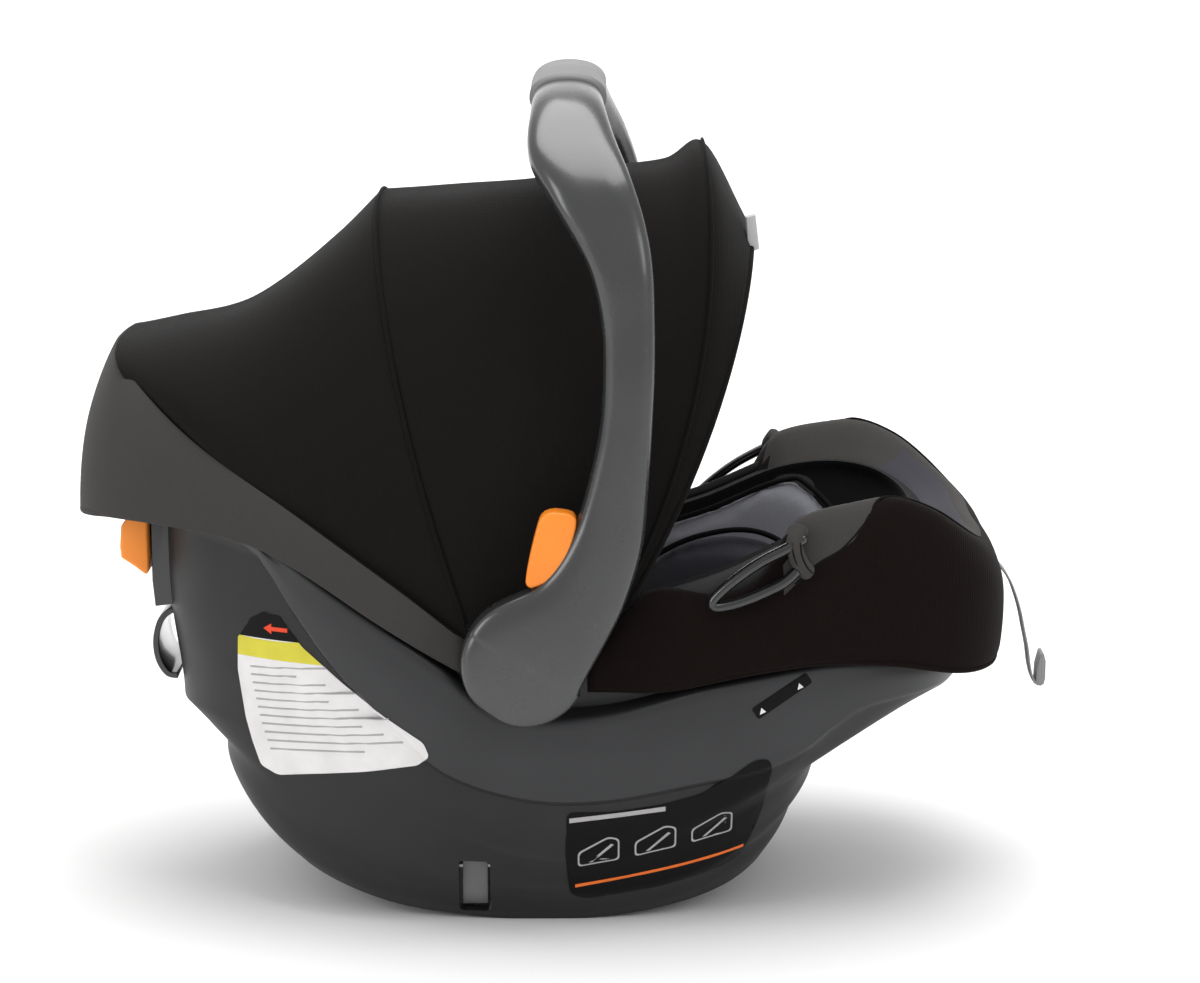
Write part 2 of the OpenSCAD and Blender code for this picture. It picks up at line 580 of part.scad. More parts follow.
module pivot_bolt(side) color(steel) to_side(side)
    turned([[0, boss_in], [bolt_r, boss_in], [bolt_r, bolt_out], [bolt_r * 2, bolt_out],
        [bolt_r * 2, bolt_out + 4], [0, bolt_out + 4]]);

module pivot_bolt_left() pivot_bolt(1);
module pivot_bolt_right() pivot_bolt(-1);

gear_r = 26;
gear_t = 6;

spring_room = 14;                    // radius of the lock spring's room in the hub
spring_end = bolt_out - 1;           // where the lock spring's room ends

module handle_hub(side) color(shell_grey) to_side(side)
    turned([[bolt_r + fit, spring_end], [spring_room, spring_end], [spring_room, hub_in + gear_t + 1.5],
        [gear_r + 1, hub_in + gear_t + 1.5], [gear_r + 1, hub_in], [hub_r - 2, hub_in],
        [hub_r, hub_in + 2], [hub_r, hub_in + hub_t - 3], [bolt_r * 2 + 1, hub_in + hub_t - 3],
        [bolt_r * 2 + 1, bolt_out - 0.5], [bolt_r + fit, bolt_out - 0.5]]);

module handle_hub_left() handle_hub(1);
module handle_hub_right() handle_hub(-1);

module hub_cover(side) color(shell_grey) to_side(side)
    turned([[0, hub_in + hub_t - 2.8], [hub_r, hub_in + hub_t - 2.8], [hub_r, hub_in + hub_t + 1],
        [hub_r - 4, hub_in + hub_t + 3.5], [0, hub_in + hub_t + 4.5]]);

module hub_cover_left() hub_cover(1);
module hub_cover_right() hub_cover(-1);

gear_in = hub_in + 0.6;
gear_out = gear_in + gear_t;

module lock_gear(side) color(steel) to_side(side) {
    turned([[bolt_r + 0.5, gear_in], [gear_r - 3, gear_in], [gear_r - 3, gear_out],
        [bolt_r + 0.5, gear_out]]);
    for (k = [0 : 11]) rotate_about_axis(30 * k)
        block([gear_r - 5, gear_in, -2], [gear_r, gear_out, 2]);
}

module lock_gear_left() lock_gear(1);
module lock_gear_right() lock_gear(-1);

module lock_spring(side) color(steel) to_side(side) translate([0, 0, pivot_z]) rotate([-90, 0, 0])
    coil(0, 0, gear_out + 0.4, spring_end - 0.2, 10, 1, 3);

module lock_spring_left() lock_spring(1);
module lock_spring_right() lock_spring(-1);

// ---- Handle ----

arm_last = len(arm) - 1;
arm_all = concat(arm, [for (i = [arm_last - 1 : -1 : 0]) [arm[i][0], -arm[i][1], arm[i][2], arm[i][3]]]);
function along(c) = [for (i = [0 : 2 * arm_last]) [i, arm_all[i][c]]];
arm_x = along(0);
arm_y = along(1);
arm_z = along(2);
arm_w = along(3);
function arm_point(u) = [curve(arm_x, u), curve(arm_y, u), curve(arm_z, u)];
function unit(v) = v / norm(v);
function arm_frame(u) =
    let (t = unit(arm_point(u + 0.05) - arm_point(u - 0.05)), x = [1, 0, 0], w = unit(x - (x * t) * t))
    [w, cross(t, w)];
// Point of the handle's section at u and angle b, grown by g.
function arm_skin(u, b, g) =
    let (f = arm_frame(u))
    arm_point(u) + f[0] * (curve(arm_w, u) + g) * power(cos(b), 0.7)
        + f[1] * (arm_h + g) * power(sin(b), 0.7);

trigger_outline = [[4, 268], [3, 279], [6, 294], [16, 311], [40, 311], [30, 290], [24, 268]];

module trigger_room() for (side = [-1, 1]) to_side(side)
    hull() for (s = [0, trigger_travel + 1]) translate(s * trigger_axis)
        translate([0, arm_mid + trigger_t / 2 + trigger_gap, 0]) rotate([90, 0, 0])
            linear_extrude(trigger_t + 2 * trigger_gap) offset(delta = trigger_gap) polygon(trigger_outline);

module handle_half(b0) difference() {
    us = [for (i = [0 : 56]) 2 * arm_last * i / 56];
    thick_sheet([for (u = us) [for (k = [0 : 8]) arm_skin(u, b0 + 0.2 + 22.45 * k, 0)]],
        [for (u = us) [for (k = [0 : 8]) arm_skin(u, b0 + 0.2 + 22.45 * k, -handle_wall)]]);
    translate([0, 0, pivot_z]) rotate([90, 0, 0]) cylinder(r = hub_r + 0.5, h = 500, center = true);
    trigger_room();
}

module handle_outer() color(shell_grey) handle_half(180);
module handle_inner() color(dark) handle_half(0);

module handle_grip() color([0.25, 0.25, 0.26]) {
    // The grip covers the stretch of the centre line within grip_half of the middle.
    u0 = arm_last - 1 - (grip_half - 60) / 55;
    us = [for (i = [0 : 12]) u0 + (2 * arm_last - 2 * u0) * i / 12];
    for (b0 = [0, 180])
        thick_sheet([for (u = us) [for (k = [0 : 8]) arm_skin(u, b0 + 22.5 * k, grip_t)]],
            [for (u = us) [for (k = [0 : 8]) arm_skin(u, b0 + 22.5 * k, 0.5)]]);
}

module trigger(side) color(orange) to_side(side)
    slab(trigger_outline, arm_mid - trigger_t / 2, arm_mid + trigger_t / 2);

module trigger_left() trigger(1);
module trigger_right() trigger(-1);

// ---- Canopy ----

// Flat arch in the plane through the handle axis at the given angle, with a ring at each end.
module bow(angle, top_r, ring_in) translate([0, 0, pivot_z]) rotate([0, -angle, 0]) difference() {
    half_w = ring_in + bow_t;
    union() {
        translate([0, 0, -bow_w / 2]) linear_extrude(bow_w) difference() {
            polygon([for (a = [0 : 5 : 180])
                [boss_r + 4 + (top_r - boss_r - 4) * power(sin(a), 0.85), half_w * power(cos(a), 0.85)]]);
            polygon([for (a = [0 : 5 : 180])
                [boss_r + (top_r - bow_t - boss_r) * power(sin(a), 0.85),
                    (half_w - bow_t) * power(cos(a), 0.85)]]);
        }
        for (side = [-1, 1]) to_side(side)
            translate([0, ring_in, 0]) rotate([-90, 0, 0]) cylinder(r = ring_r, h = bow_t);
    }
    rotate([90, 0, 0]) cylinder(r = boss_r + ring_gap, h = 500, center = true);
}

module canopy_mid_bow() color(dark) bow(mid_angle, 310, boss_in + ring_gap);
module canopy_front_bow() color(dark) bow(front_angle, 352, boss_in + bow_t + 2 * ring_gap);

// One arch of cloth, drawn in by g.
function arch(s, g) = [
    for (k = [0 : 24])
        let (a = 7.5 * k, c = reach(a) * sin(a), y = (s[5] - g) * reach(a) * cos(a),
            dx = s[2] - s[0], dz = s[3] - s[1], drop = g * c / norm([dx, dz]), push = s[4] * 4 * c * (1 - c))
        [s[0] + dx * (c - drop) + push, y, s[1] + dz * (c - drop)]];
function between(i, t) = arches[i] * (1 - t) + arches[min(i + 1, len(arches) - 1)] * t;

module cloth_panel(first, last, trim_front = 0, trim_rear = 0) {
    count = (last - first) * 2;
    rows = [
        for (i = [0 : count])
            let (f = first + trim_front + (last - trim_rear - first - trim_front) * i / count,
                n = min(floor(f), len(arches) - 2))
            between(n, f - n)];
    thick_sheet([for (i = [count : -1 : 0]) arch(rows[i], 0)],
        [for (i = [count : -1 : 0]) arch(rows[i], cloth_t)]);
}

module canopy_front_panel() color(cloth) cloth_panel(0, mid_arch, 0, 0.02);
module canopy_rear_panel() color(cloth) cloth_panel(mid_arch, len(arches) - 1, 0.02, 0);

module canopy_tag() color([0.8, 0.8, 0.82]) block([163.4, -82, 474], [165, -70, 496]);

shell();
foam_liner();
seat_pad();
seat_cover();
body_cushion();
head_pillow();
harness_strap_left();
harness_strap_right();
shoulder_pad_left();
shoulder_pad_right();
crotch_strap();
crotch_pad();
chest_clip_left();
chest_clip_right();
chest_clip_button();
buckle_housing();
buckle_tongues();
buckle_button();
adjuster_housing();
adjuster_button();
adjuster_strap();
adjuster_tab();
under_seat_web();
splitter_plate();
belt_guide_left();
belt_guide_right();
shoulder_belt_guide();
release_bracket();
release_lever();
release_pin();
release_spring();
latch_hook_left();
latch_hook_right();
latch_pins();
base_bars();
socket_left();
socket_right();
socket_screws();
pivot_bolt_left();
pivot_bolt_right();
handle_outer();
handle_inner();
handle_grip();
handle_hub_left();
handle_hub_right();
hub_cover_left();
hub_cover_right();
lock_gear_left();
lock_gear_right();
lock_spring_left();
lock_spring_right();
trigger_left();
trigger_right();
canopy_mid_bow();
canopy_front_bow();
canopy_trim();
canopy_rear_panel();
canopy_front_panel();
canopy_tag();
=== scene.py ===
"""Infant car seat: the looks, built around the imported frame.

Sizes are in millimetres and scaled to metres, but for the camera, the floor and the lights.
"""
import json
import math

import bmesh
import bpy
import numpy as np
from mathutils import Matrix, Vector, geometry, noise
from mathutils.bvhtree import BVHTree

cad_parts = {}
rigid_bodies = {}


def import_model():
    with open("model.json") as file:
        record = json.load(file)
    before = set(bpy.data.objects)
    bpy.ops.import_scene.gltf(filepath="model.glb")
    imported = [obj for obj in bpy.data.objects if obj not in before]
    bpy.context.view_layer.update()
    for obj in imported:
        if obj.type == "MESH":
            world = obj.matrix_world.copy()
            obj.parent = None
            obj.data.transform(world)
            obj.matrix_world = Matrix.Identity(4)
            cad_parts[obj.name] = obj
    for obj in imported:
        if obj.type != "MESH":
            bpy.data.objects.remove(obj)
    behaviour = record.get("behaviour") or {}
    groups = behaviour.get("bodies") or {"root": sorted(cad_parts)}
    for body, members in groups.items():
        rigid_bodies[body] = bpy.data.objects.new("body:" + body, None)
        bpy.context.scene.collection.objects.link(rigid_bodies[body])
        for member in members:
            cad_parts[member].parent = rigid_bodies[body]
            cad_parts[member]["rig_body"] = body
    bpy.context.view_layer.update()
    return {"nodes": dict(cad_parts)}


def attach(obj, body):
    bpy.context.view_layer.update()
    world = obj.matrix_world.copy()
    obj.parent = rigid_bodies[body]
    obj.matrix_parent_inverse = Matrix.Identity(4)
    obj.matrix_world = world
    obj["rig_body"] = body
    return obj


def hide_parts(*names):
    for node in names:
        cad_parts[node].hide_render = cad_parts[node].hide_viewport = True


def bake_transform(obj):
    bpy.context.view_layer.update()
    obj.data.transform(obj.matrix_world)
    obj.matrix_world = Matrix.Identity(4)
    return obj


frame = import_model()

MM = 0.001
SIDES = ((1, "left"), (-1, "right"))

# ---- camera ----

VIEW_TARGET = Vector((0.053, 0.0, 0.290))
VIEW_DISTANCE = 2.5
VIEW_ELEVATION = math.radians(11.7)
VIEW_LENS = 99.1


def placed(name, data):
    obj = bpy.data.objects.new(name, data)
    bpy.context.scene.collection.objects.link(obj)
    return obj


def make_camera():
    data = bpy.data.cameras.new("camera")
    data.lens = VIEW_LENS
    data.sensor_width = 36.0
    cam = placed("camera", data)
    back = Vector((0, -math.cos(VIEW_ELEVATION), math.sin(VIEW_ELEVATION)))
    cam.location = VIEW_TARGET + back * VIEW_DISTANCE
    cam.rotation_euler = back.to_track_quat("Z", "Y").to_euler()
    bpy.context.scene.camera = cam


make_camera()

# ---- materials ----


def new_material(name):
    mat = bpy.data.materials.new(name)
    mat.use_nodes = True
    tree = mat.node_tree
    return mat, tree, tree.nodes["Principled BSDF"]


def add(tree, kind, **values):
    node = tree.nodes.new(kind)
    for key, value in values.items():
        if key in node.inputs:
            node.inputs[key].default_value = value
        else:
            setattr(node, key, value)
    return node


def object_coords(tree, scale=(1, 1, 1)):
    coord = add(tree, "ShaderNodeTexCoord")
    mapping = add(tree, "ShaderNodeMapping")
    mapping.inputs["Scale"].default_value = scale
    tree.links.new(coord.outputs["Object"], mapping.inputs["Vector"])
    return mapping.outputs["Vector"]


def ramp(tree, source, stops):
    node = add(tree, "ShaderNodeValToRGB")
    elements = node.color_ramp.elements
    while len(elements) < len(stops):
        elements.new(0.5)
    for element, (place, colour) in zip(elements, stops):
        element.position = place
        element.color = (*colour, 1)
    tree.links.new(source, node.inputs["Fac"])
    return node.outputs["Color"]


def bump(tree, shader, height, strength, distance):
    node = add(tree, "ShaderNodeBump", Strength=strength, Distance=distance)
    tree.links.new(height, node.inputs["Height"])
    tree.links.new(node.outputs["Normal"], shader.inputs["Normal"])


def mix_value(tree, kind, a, b):
    node = add(tree, "ShaderNodeMath", operation=kind)
    for i, value in enumerate((a, b)):
        if isinstance(value, (int, float)):
            node.inputs[i].default_value = value
        else:
            tree.links.new(value, node.inputs[i])
    return node.outputs[0]


def set_inputs(node, **values):
    for key, value in values.items():
        node.inputs[key.replace("_", " ")].default_value = value


def speckle(tree, where, scale, detail, **more):
    """A noise field over the piece."""
    node = add(tree, "ShaderNodeTexNoise", Scale=float(scale), Detail=detail, **more)
    tree.links.new(where, node.inputs["Vector"])
    return node.outputs["Fac"]


def plastic(name, dark, light, rough, grain=900, depth=0.00004, coat=0.0, spec=0.5):
    """Moulded plastic: fine grain, faint cloudy colour and worn gloss."""
    mat, tree, shader = new_material(name)
    where = object_coords(tree)
    cloud = speckle(tree, where, 9.0, 4.0)
    fine = speckle(tree, where, grain, 3.0, Roughness=0.7)
    smear = speckle(tree, where, 24.0, 5.0)
    tree.links.new(ramp(tree, cloud, [(0.35, dark), (0.65, light)]), shader.inputs["Base Color"])
    roughness = mix_value(tree, "MULTIPLY_ADD", smear, 0.16)
    roughness.node.inputs[2].default_value = rough - 0.08
    tree.links.new(roughness, shader.inputs["Roughness"])
    bump(tree, shader, fine, 0.5, depth)
    set_inputs(shader, Specular_IOR_Level=spec, Coat_Weight=coat, Coat_Roughness=0.12)
    return mat


def cloth(name, dark, light, thread=0.0009, heather=0.0, sheen=0.25, depth=0.00025):
    """Woven cloth: crossed threads, optional heather flecks, soft sheen."""
    mat, tree, shader = new_material(name)
    where = object_coords(tree)
    turns = 1 / (thread * 2)
    waves = []
    for axis in ("X", "Y", "Z"):
        wave = add(tree, "ShaderNodeTexWave", bands_direction=axis, Scale=turns * 0.32, Distortion=1.2)
        set_inputs(wave, Detail_Scale=3.0)
        tree.links.new(where, wave.inputs["Vector"])
        waves.append(wave.outputs["Fac"])
    weave = mix_value(tree, "MAXIMUM", mix_value(tree, "MULTIPLY", waves[0], waves[1]),
                      mix_value(tree, "MULTIPLY", waves[2], waves[0]))
    flecks = speckle(tree, where, 400.0, 4.0, Roughness=0.8)
    patch = speckle(tree, where, 14.0, 4.0)
    tone = mix_value(tree, "MULTIPLY_ADD", patch, 0.25)
    tree.links.new(mix_value(tree, "MULTIPLY_ADD", flecks, 0.3 + heather), tone.node.inputs[2])
    spread = 0.025 if heather else 0.18
    stops = [(0.335 + 0.4 * heather - spread, dark), (0.335 + 0.5 * heather + spread, light)]
    tree.links.new(ramp(tree, tone, stops), shader.inputs["Base Color"])
    set_inputs(shader, Roughness=0.92, Specular_IOR_Level=0.08, Sheen_Weight=sheen, Sheen_Roughness=0.45)
    bump(tree, shader, mix_value(tree, "ADD", weave, flecks), 0.55, depth)
    return mat


def metal(name):
    """Brushed steel."""
    mat, tree, shader = new_material(name)
    lines = speckle(tree, object_coords(tree, (1, 1, 18)), 140.0, 4.0)
    stops = [(0.3, (0.36, 0.36, 0.37)), (0.7, (0.55, 0.55, 0.57))]
    tree.links.new(ramp(tree, lines, stops), shader.inputs["Base Color"])
    set_inputs(shader, Metallic=1.0, Roughness=0.33)
    bump(tree, shader, lines, 0.2, 0.00003)
    return mat


def print_ink(name, colour):
    """Printed sticker film, with faint mottling."""
    mat, tree, shader = new_material(name)
    spot = speckle(tree, object_coords(tree), 60.0, 3.0)
    stops = [(0.3, tuple(c * 0.9 for c in colour)), (0.7, colour)]
    tree.links.new(ramp(tree, spot, stops), shader.inputs["Base Color"])
    set_inputs(shader, Roughness=0.38, Specular_IOR_Level=0.12)
    bump(tree, shader, spot, 0.08, 0.00005)
    return mat


SHELL = plastic("shell_plastic_look", (0.0150, 0.0155, 0.0168), (0.0205, 0.0212, 0.0228), 0.42, spec=0.42)
SHELL_LOW = plastic("lower_shell_look", (0.0095, 0.0095, 0.0093), (0.0130, 0.0130, 0.0128), 0.50,
                    depth=0.00006, spec=0.34)
HANDLE = plastic("handle_plastic_look", (0.019, 0.0194, 0.0205), (0.026, 0.0265, 0.028), 0.27, grain=1300,
                 depth=0.00002, coat=0.25, spec=0.7)
GRIP = plastic("grip_look", (0.115, 0.113, 0.115), (0.15, 0.148, 0.15), 0.5, grain=1600)
BLACK_PLASTIC = plastic("black_plastic_look", (0.006, 0.006, 0.0065), (0.010, 0.010, 0.011), 0.2, coat=0.5)
ORANGE = plastic("orange_plastic_look", (0.86, 0.23, 0.015), (0.93, 0.29, 0.025), 0.38, grain=1200)
RED = plastic("red_plastic_look", (0.5, 0.02, 0.012), (0.6, 0.03, 0.018), 0.35)
GREY_PLASTIC = plastic("grey_plastic_look", (0.20, 0.20, 0.205), (0.26, 0.26, 0.265), 0.36)
FOAM = plastic("foam_look", (0.5, 0.5, 0.5), (0.6, 0.6, 0.59), 0.85, grain=260, depth=0.0003)
STEEL = metal("steel_look")
CANOPY = cloth("canopy_cloth_look", (0.0032, 0.0028, 0.0026), (0.0075, 0.0068, 0.0063), sheen=0.035)
SKIRT = cloth("skirt_cloth_look", (0.0030, 0.0017, 0.0014), (0.0062, 0.0038, 0.0032), sheen=0.02)
HEATHER = cloth("heather_cloth_look", (0.0040, 0.0038, 0.0036), (0.046, 0.044, 0.042), heather=0.25,
                sheen=0.05)
PAD = cloth("pad_cloth_look", (0.006, 0.006, 0.0066), (0.011, 0.011, 0.012), sheen=0.04)
INSERT = cloth("insert_cloth_look", (0.150, 0.151, 0.168), (0.225, 0.227, 0.250), thread=0.0007, sheen=0.12)
CUSHION = cloth("cushion_cloth_look", (0.026, 0.026, 0.032), (0.044, 0.044, 0.053), thread=0.0007, sheen=0.08)
PIPING = cloth("piping_look", (0.003, 0.003, 0.003), (0.006, 0.006, 0.006), sheen=0.03)
WEBBING = cloth("webbing_look", (0.15, 0.15, 0.15), (0.27, 0.27, 0.27), thread=0.0012, sheen=0.1,
                depth=0.0005)
TAG = cloth("tag_look", (0.36, 0.36, 0.37), (0.52, 0.52, 0.52), sheen=0.1)
INK_COLOURS = {"white": (0.72, 0.70, 0.70), "yellow": (0.62, 0.56, 0.06), "black": (0.0025, 0.0025, 0.0025),
               "orange": (0.78, 0.16, 0.03), "grey": (0.38, 0.37, 0.37), "red": (0.75, 0.07, 0.03)}
INK = {name: print_ink(name + "_ink", colour) for name, colour in INK_COLOURS.items()}

# ---- mesh helpers ----


def piece(name, verts, faces, material, body=None, slot=None, replaces=(), sharp=None):
    """A mesh piece from points in millimetres."""
    mesh = bpy.data.meshes.new(name)
    mesh.from_pydata([tuple(float(c) * MM for c in v) for v in verts], [],
                     [tuple(int(i) for i in f) for f in faces])
    mesh.validate()
    work = bmesh.new()
    work.from_mesh(mesh)
    bmesh.ops.remove_doubles(work, verts=work.verts, dist=1e-6)
    bmesh.ops.recalc_face_normals(work, faces=work.faces)
    work.to_mesh(mesh)
    work.free()
    mesh.polygons.foreach_set("use_smooth", [True] * len(mesh.polygons))
    if sharp:
        mesh.set_sharp_from_angle(angle=math.radians(sharp))
    mesh.materials.append(material)
    obj = placed(name, mesh)
    if replaces:
        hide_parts(*replaces)
    if body:
        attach(obj, body)
    return obj


def grid_faces(rows, cols, wrap=False, start=0):
    across = cols if wrap else cols - 1
    return [(start + i * cols + j, start + i * cols + (j + 1) % cols, start + (i + 1) * cols + (j + 1) % cols,
             start + (i + 1) * cols + j) for i in range(rows - 1) for j in range(across)]


def capped_faces(rows, sides):
    """Faces of a tube made of rings of points, closed at both ends."""
    last = (rows - 1) * sides
    return (grid_faces(rows, sides, wrap=True)
            + [tuple(range(sides)), tuple(range(last + sides - 1, last - 1, -1))])


def modifier(obj, kind, **values):
    mod = obj.modifiers.new(kind.lower(), kind)
    for key, value in values.items():
        setattr(mod, key, value)
    return mod


def apply_modifiers(obj):
    """Makes the modified mesh the piece's own."""
    graph = bpy.context.evaluated_depsgraph_get()
    made = bpy.data.meshes.new_from_object(obj.evaluated_get(graph))
    obj.modifiers.clear()
    old = obj.data
    obj.data = made
    bpy.data.meshes.remove(old)
    made.polygons.foreach_set("use_smooth", [True] * len(made.polygons))


def thicken(obj, thickness, offset):
    modifier(obj, "SOLIDIFY", thickness=thickness * MM, offset=offset)
    apply_modifiers(obj)


def curve(points, at):
    """Smooth curve through (x, value) points, level beyond both ends."""
    p = np.array(points, float)
    x = np.clip(np.asarray(at, float), p[0, 0], p[-1, 0])
    slope = np.gradient(p[:, 1], p[:, 0]) if len(p) < 3 else np.concatenate(
        [[(p[1, 1] - p[0, 1]) / (p[1, 0] - p[0, 0])], (p[2:, 1] - p[:-2, 1]) / (p[2:, 0] - p[:-2, 0]),
         [(p[-1, 1] - p[-2, 1]) / (p[-1, 0] - p[-2, 0])]])
    i = np.clip(np.searchsorted(p[:, 0], x, side="right") - 1, 0, len(p) - 2)
    h = p[i + 1, 0] - p[i, 0]
    t = (x - p[i, 0]) / h
    u = 1 - t
    return (p[i, 1] * u * u * (1 + 2 * t) + p[i + 1, 1] * t * t * (3 - 2 * t)
            + h * t * u * (slope[i] * u - slope[i + 1] * t))


def smooth_path(points, count):
    """Points spread evenly along a smooth curve through the given ones."""
    p = np.array(points, float)
    fine = np.stack([curve(np.stack([np.arange(len(p)), p[:, c]], 1), np.linspace(0, len(p) - 1, len(p) * 24))
                     for c in range(p.shape[1])], 1)
    run = np.concatenate([[0], np.cumsum(np.linalg.norm(np.diff(fine[:, :3], axis=0), axis=1))])
    at = np.linspace(0, run[-1], count)
    return np.stack([np.interp(at, run, fine[:, c]) for c in range(p.shape[1])], 1)


def reach(a):
    """Reach of a squared-off unit circle in the direction a."""
    return 1 / (np.abs(np.cos(a)) ** 3 + np.abs(np.sin(a)) ** 3) ** (1 / 3)


def unit(rows):
    return rows / np.linalg.norm(rows, axis=1)[:, None]


def tube(name, points, radius, material, sides=12, flat=1.0, count=None, **more):
    """Closed tube along points; flat below 1 makes it oval across its second direction."""
    path = smooth_path(points, count or max(16, len(points) * 6))
    way = unit(np.gradient(path, axis=0))
    up = np.array([0, 1.0, 0]) if abs(way[:, 1]).mean() < 0.7 else np.array([0, 0, 1.0])
    side = unit(np.cross(way, up))
    other = np.cross(side, way)
    angles = np.linspace(0, 2 * np.pi, sides, endpoint=False)
    rings = [path + radius * (np.cos(a) * other + flat * np.sin(a) * side) for a in angles]
    verts = np.stack(rings, 1).reshape(-1, 3)
    return piece(name, verts, capped_faces(len(path), sides), material, **more)


def softened(node, material, width):
    """The CAD node's own shape with its edges rounded, standing for it."""
    source = frame["nodes"][node]
    mesh = source.data.copy()
    mesh.name = node + "_look"
    work = bmesh.new()
    work.from_mesh(mesh)
    bmesh.ops.remove_doubles(work, verts=work.verts, dist=1e-6)
    bmesh.ops.dissolve_limit(work, angle_limit=math.radians(1), verts=work.verts, edges=work.edges)
    work.to_mesh(mesh)
    work.free()
    mesh.materials.clear()
    mesh.materials.append(material)
    obj = placed(node + "_look", mesh)
    modifier(obj, "BEVEL", width=width * MM, segments=3, limit_method="ANGLE",
             angle_limit=math.radians(35), harden_normals=False)
    apply_modifiers(obj)
    obj.data.set_sharp_from_angle(angle=math.radians(40))
    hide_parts(node)
    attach(obj, source["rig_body"])
    return obj


STUFFING_PRESSURE = 4.0
STUFFING_FRAMES = 20


def inflate(obj, cap, voxel=5.0):
    """Stuffs a closed padded piece by cloth simulation, and keeps each point within cap of its start."""
    modifier(obj, "REMESH", mode="VOXEL", voxel_size=voxel * MM, use_smooth_shade=True)
    apply_modifiers(obj)
    before = np.array([v.co for v in obj.data.vertices])
    mod = obj.modifiers.new("stuffing", "CLOTH")
    mod.settings.use_pressure = True
    mod.settings.uniform_pressure_force = STUFFING_PRESSURE
    mod.settings.effector_weights.gravity = 0
    mod.settings.quality = 4
    scene = bpy.context.scene
    for number in range(1, STUFFING_FRAMES + 1):
        scene.frame_set(number)
    graph = bpy.context.evaluated_depsgraph_get()
    after = np.array([v.co for v in obj.evaluated_get(graph).data.vertices])
    obj.modifiers.clear()
    scene.frame_set(1)
    move = after - before
    size = np.linalg.norm(move, axis=1)[:, None]
    move *= np.minimum(1, cap * MM / np.maximum(size, 1e-9))
    obj.data.vertices.foreach_set("co", (before + move).astype(np.float32).ravel())
    modifier(obj, "SUBSURF", levels=1, render_levels=1)
    apply_modifiers(obj)


# ---- the shell ----

PIVOT = np.array([0.0, 0.0, 209.0])
RIM_W = 159
BAND_OUT = 24
FOOT_W = 142
BUCKET_W = 112
RIM_Z = [(-270, 315), (-200, 300), (-140, 275), (-62, 248), (0, 238), (60, 242), (134, 262), (200, 290),
         (262, 296), (305, 276), (333, 246)]
RIM_GROW = [(-272, -34), (-200, -19), (-100, -5), (0, 0), (60, 1), (134, 5), (200, 8), (318, 8)]
LEDGE_Z = [
    (-272, 303), (-202, 286), (-139, 249), (-61, 198), (-42, 181), (-25, 168), (0, 163), (35, 163),
    (67, 167), (124, 182), (167, 190), (217, 197), (270, 194), (323, 180)]
BAND_GROW = [(-274, -44), (-200, -26), (-100, -8), (0, 0), (60, 0), (134, -3), (200, -5), (323, -7)]
STYLE_Z = [
    (-274, 290), (-227, 284), (-195, 272), (-170, 236), (-140, 196), (-90, 148), (-62, 122), (-5, 103),
    (53, 101), (125, 113), (168, 121), (200, 134), (225, 152), (250, 163), (321, 166)]
COLUMN_Z = [(-262, 143), (-235, 141), (-200, 134), (-140, 108), (-62, 75), (0, 55), (60, 55), (125, 70),
            (190, 100), (225, 128)]
STEP_Z = [(-230, 119), (-200, 104), (-140, 68), (-60, 44), (0, 35), (60, 36), (120, 46), (180, 74),
          (218, 104)]
LOW_Z = [(-222, 84), (-185, 60), (-130, 36), (-60, 22), (0, 17), (60, 18), (120, 28), (165, 48), (203, 72)]
ROCKER_Z = [(-190, 41), (-150, 25), (-97, 10), (-42, 2.5), (-10, 0), (40, 0), (90, 5), (140, 15), (170, 26),
            (183, 34)]
FLOOR_Z = [(-235, 262), (-170, 190), (-100, 122), (-30, 74), (30, 62), (90, 78), (160, 118), (230, 158),
           (290, 180)]
CAVITY_Z = [(-190, 70), (-100, 50), (0, 34), (90, 40), (160, 60)]
LEVEL = [(-1, 0), (1, 0)]
LATCH_X = -38
AROUND = 160
ANGLES = np.linspace(0, 2 * np.pi, AROUND, endpoint=False)


def ring(xa, xb, w, grow, z, lift=0.0, other=None, share=0.0):
    """Closed loop from xa to xb; its height is z, or a share of the way from z to other."""
    x = (xa + xb) / 2 - (xb - xa) / 2 * reach(ANGLES) * np.cos(ANGLES)
    y = (w + curve(grow, x)) * reach(ANGLES) * np.sin(ANGLES)
    height = curve(z, x) + lift
    if other is not None:
        height = height * (1 - share) + curve(other, x) * share
    return np.stack([x, y, np.maximum(height, 0)], 1)


def between_rings(rings, count):
    """Rings along a smooth curve through the given ones, point by point."""
    at = np.linspace(0, len(rings) - 1, count)
    flat = np.stack(rings).reshape(len(rings), -1)
    slope = np.gradient(flat, axis=0)
    i = np.clip(at.astype(int), 0, len(rings) - 2)
    t = (at - i)[:, None]
    u = 1 - t
    made = (flat[i] * u * u * (1 + 2 * t) + flat[i + 1] * t * t * (3 - 2 * t)
            + t * u * (slope[i] * u - slope[i + 1] * t))
    return made.reshape(count, -1, 3)


def bucket(kind, g, drop=0.0):
    """Ring of the seat bucket's inside at its floor, side or top, drawn in by g."""
    if kind == "floor":
        return ring(-222 + g, 262 - g, BUCKET_W - g, LEVEL, FLOOR_Z, g)
    if kind == "side":
        return ring(-240 + g, 286 - g, BUCKET_W + 18 - g, LEVEL, FLOOR_Z, 14 + g)
    return ring(-264 + g, 310 - g, RIM_W - 8 - g, RIM_GROW, RIM_Z, -drop)


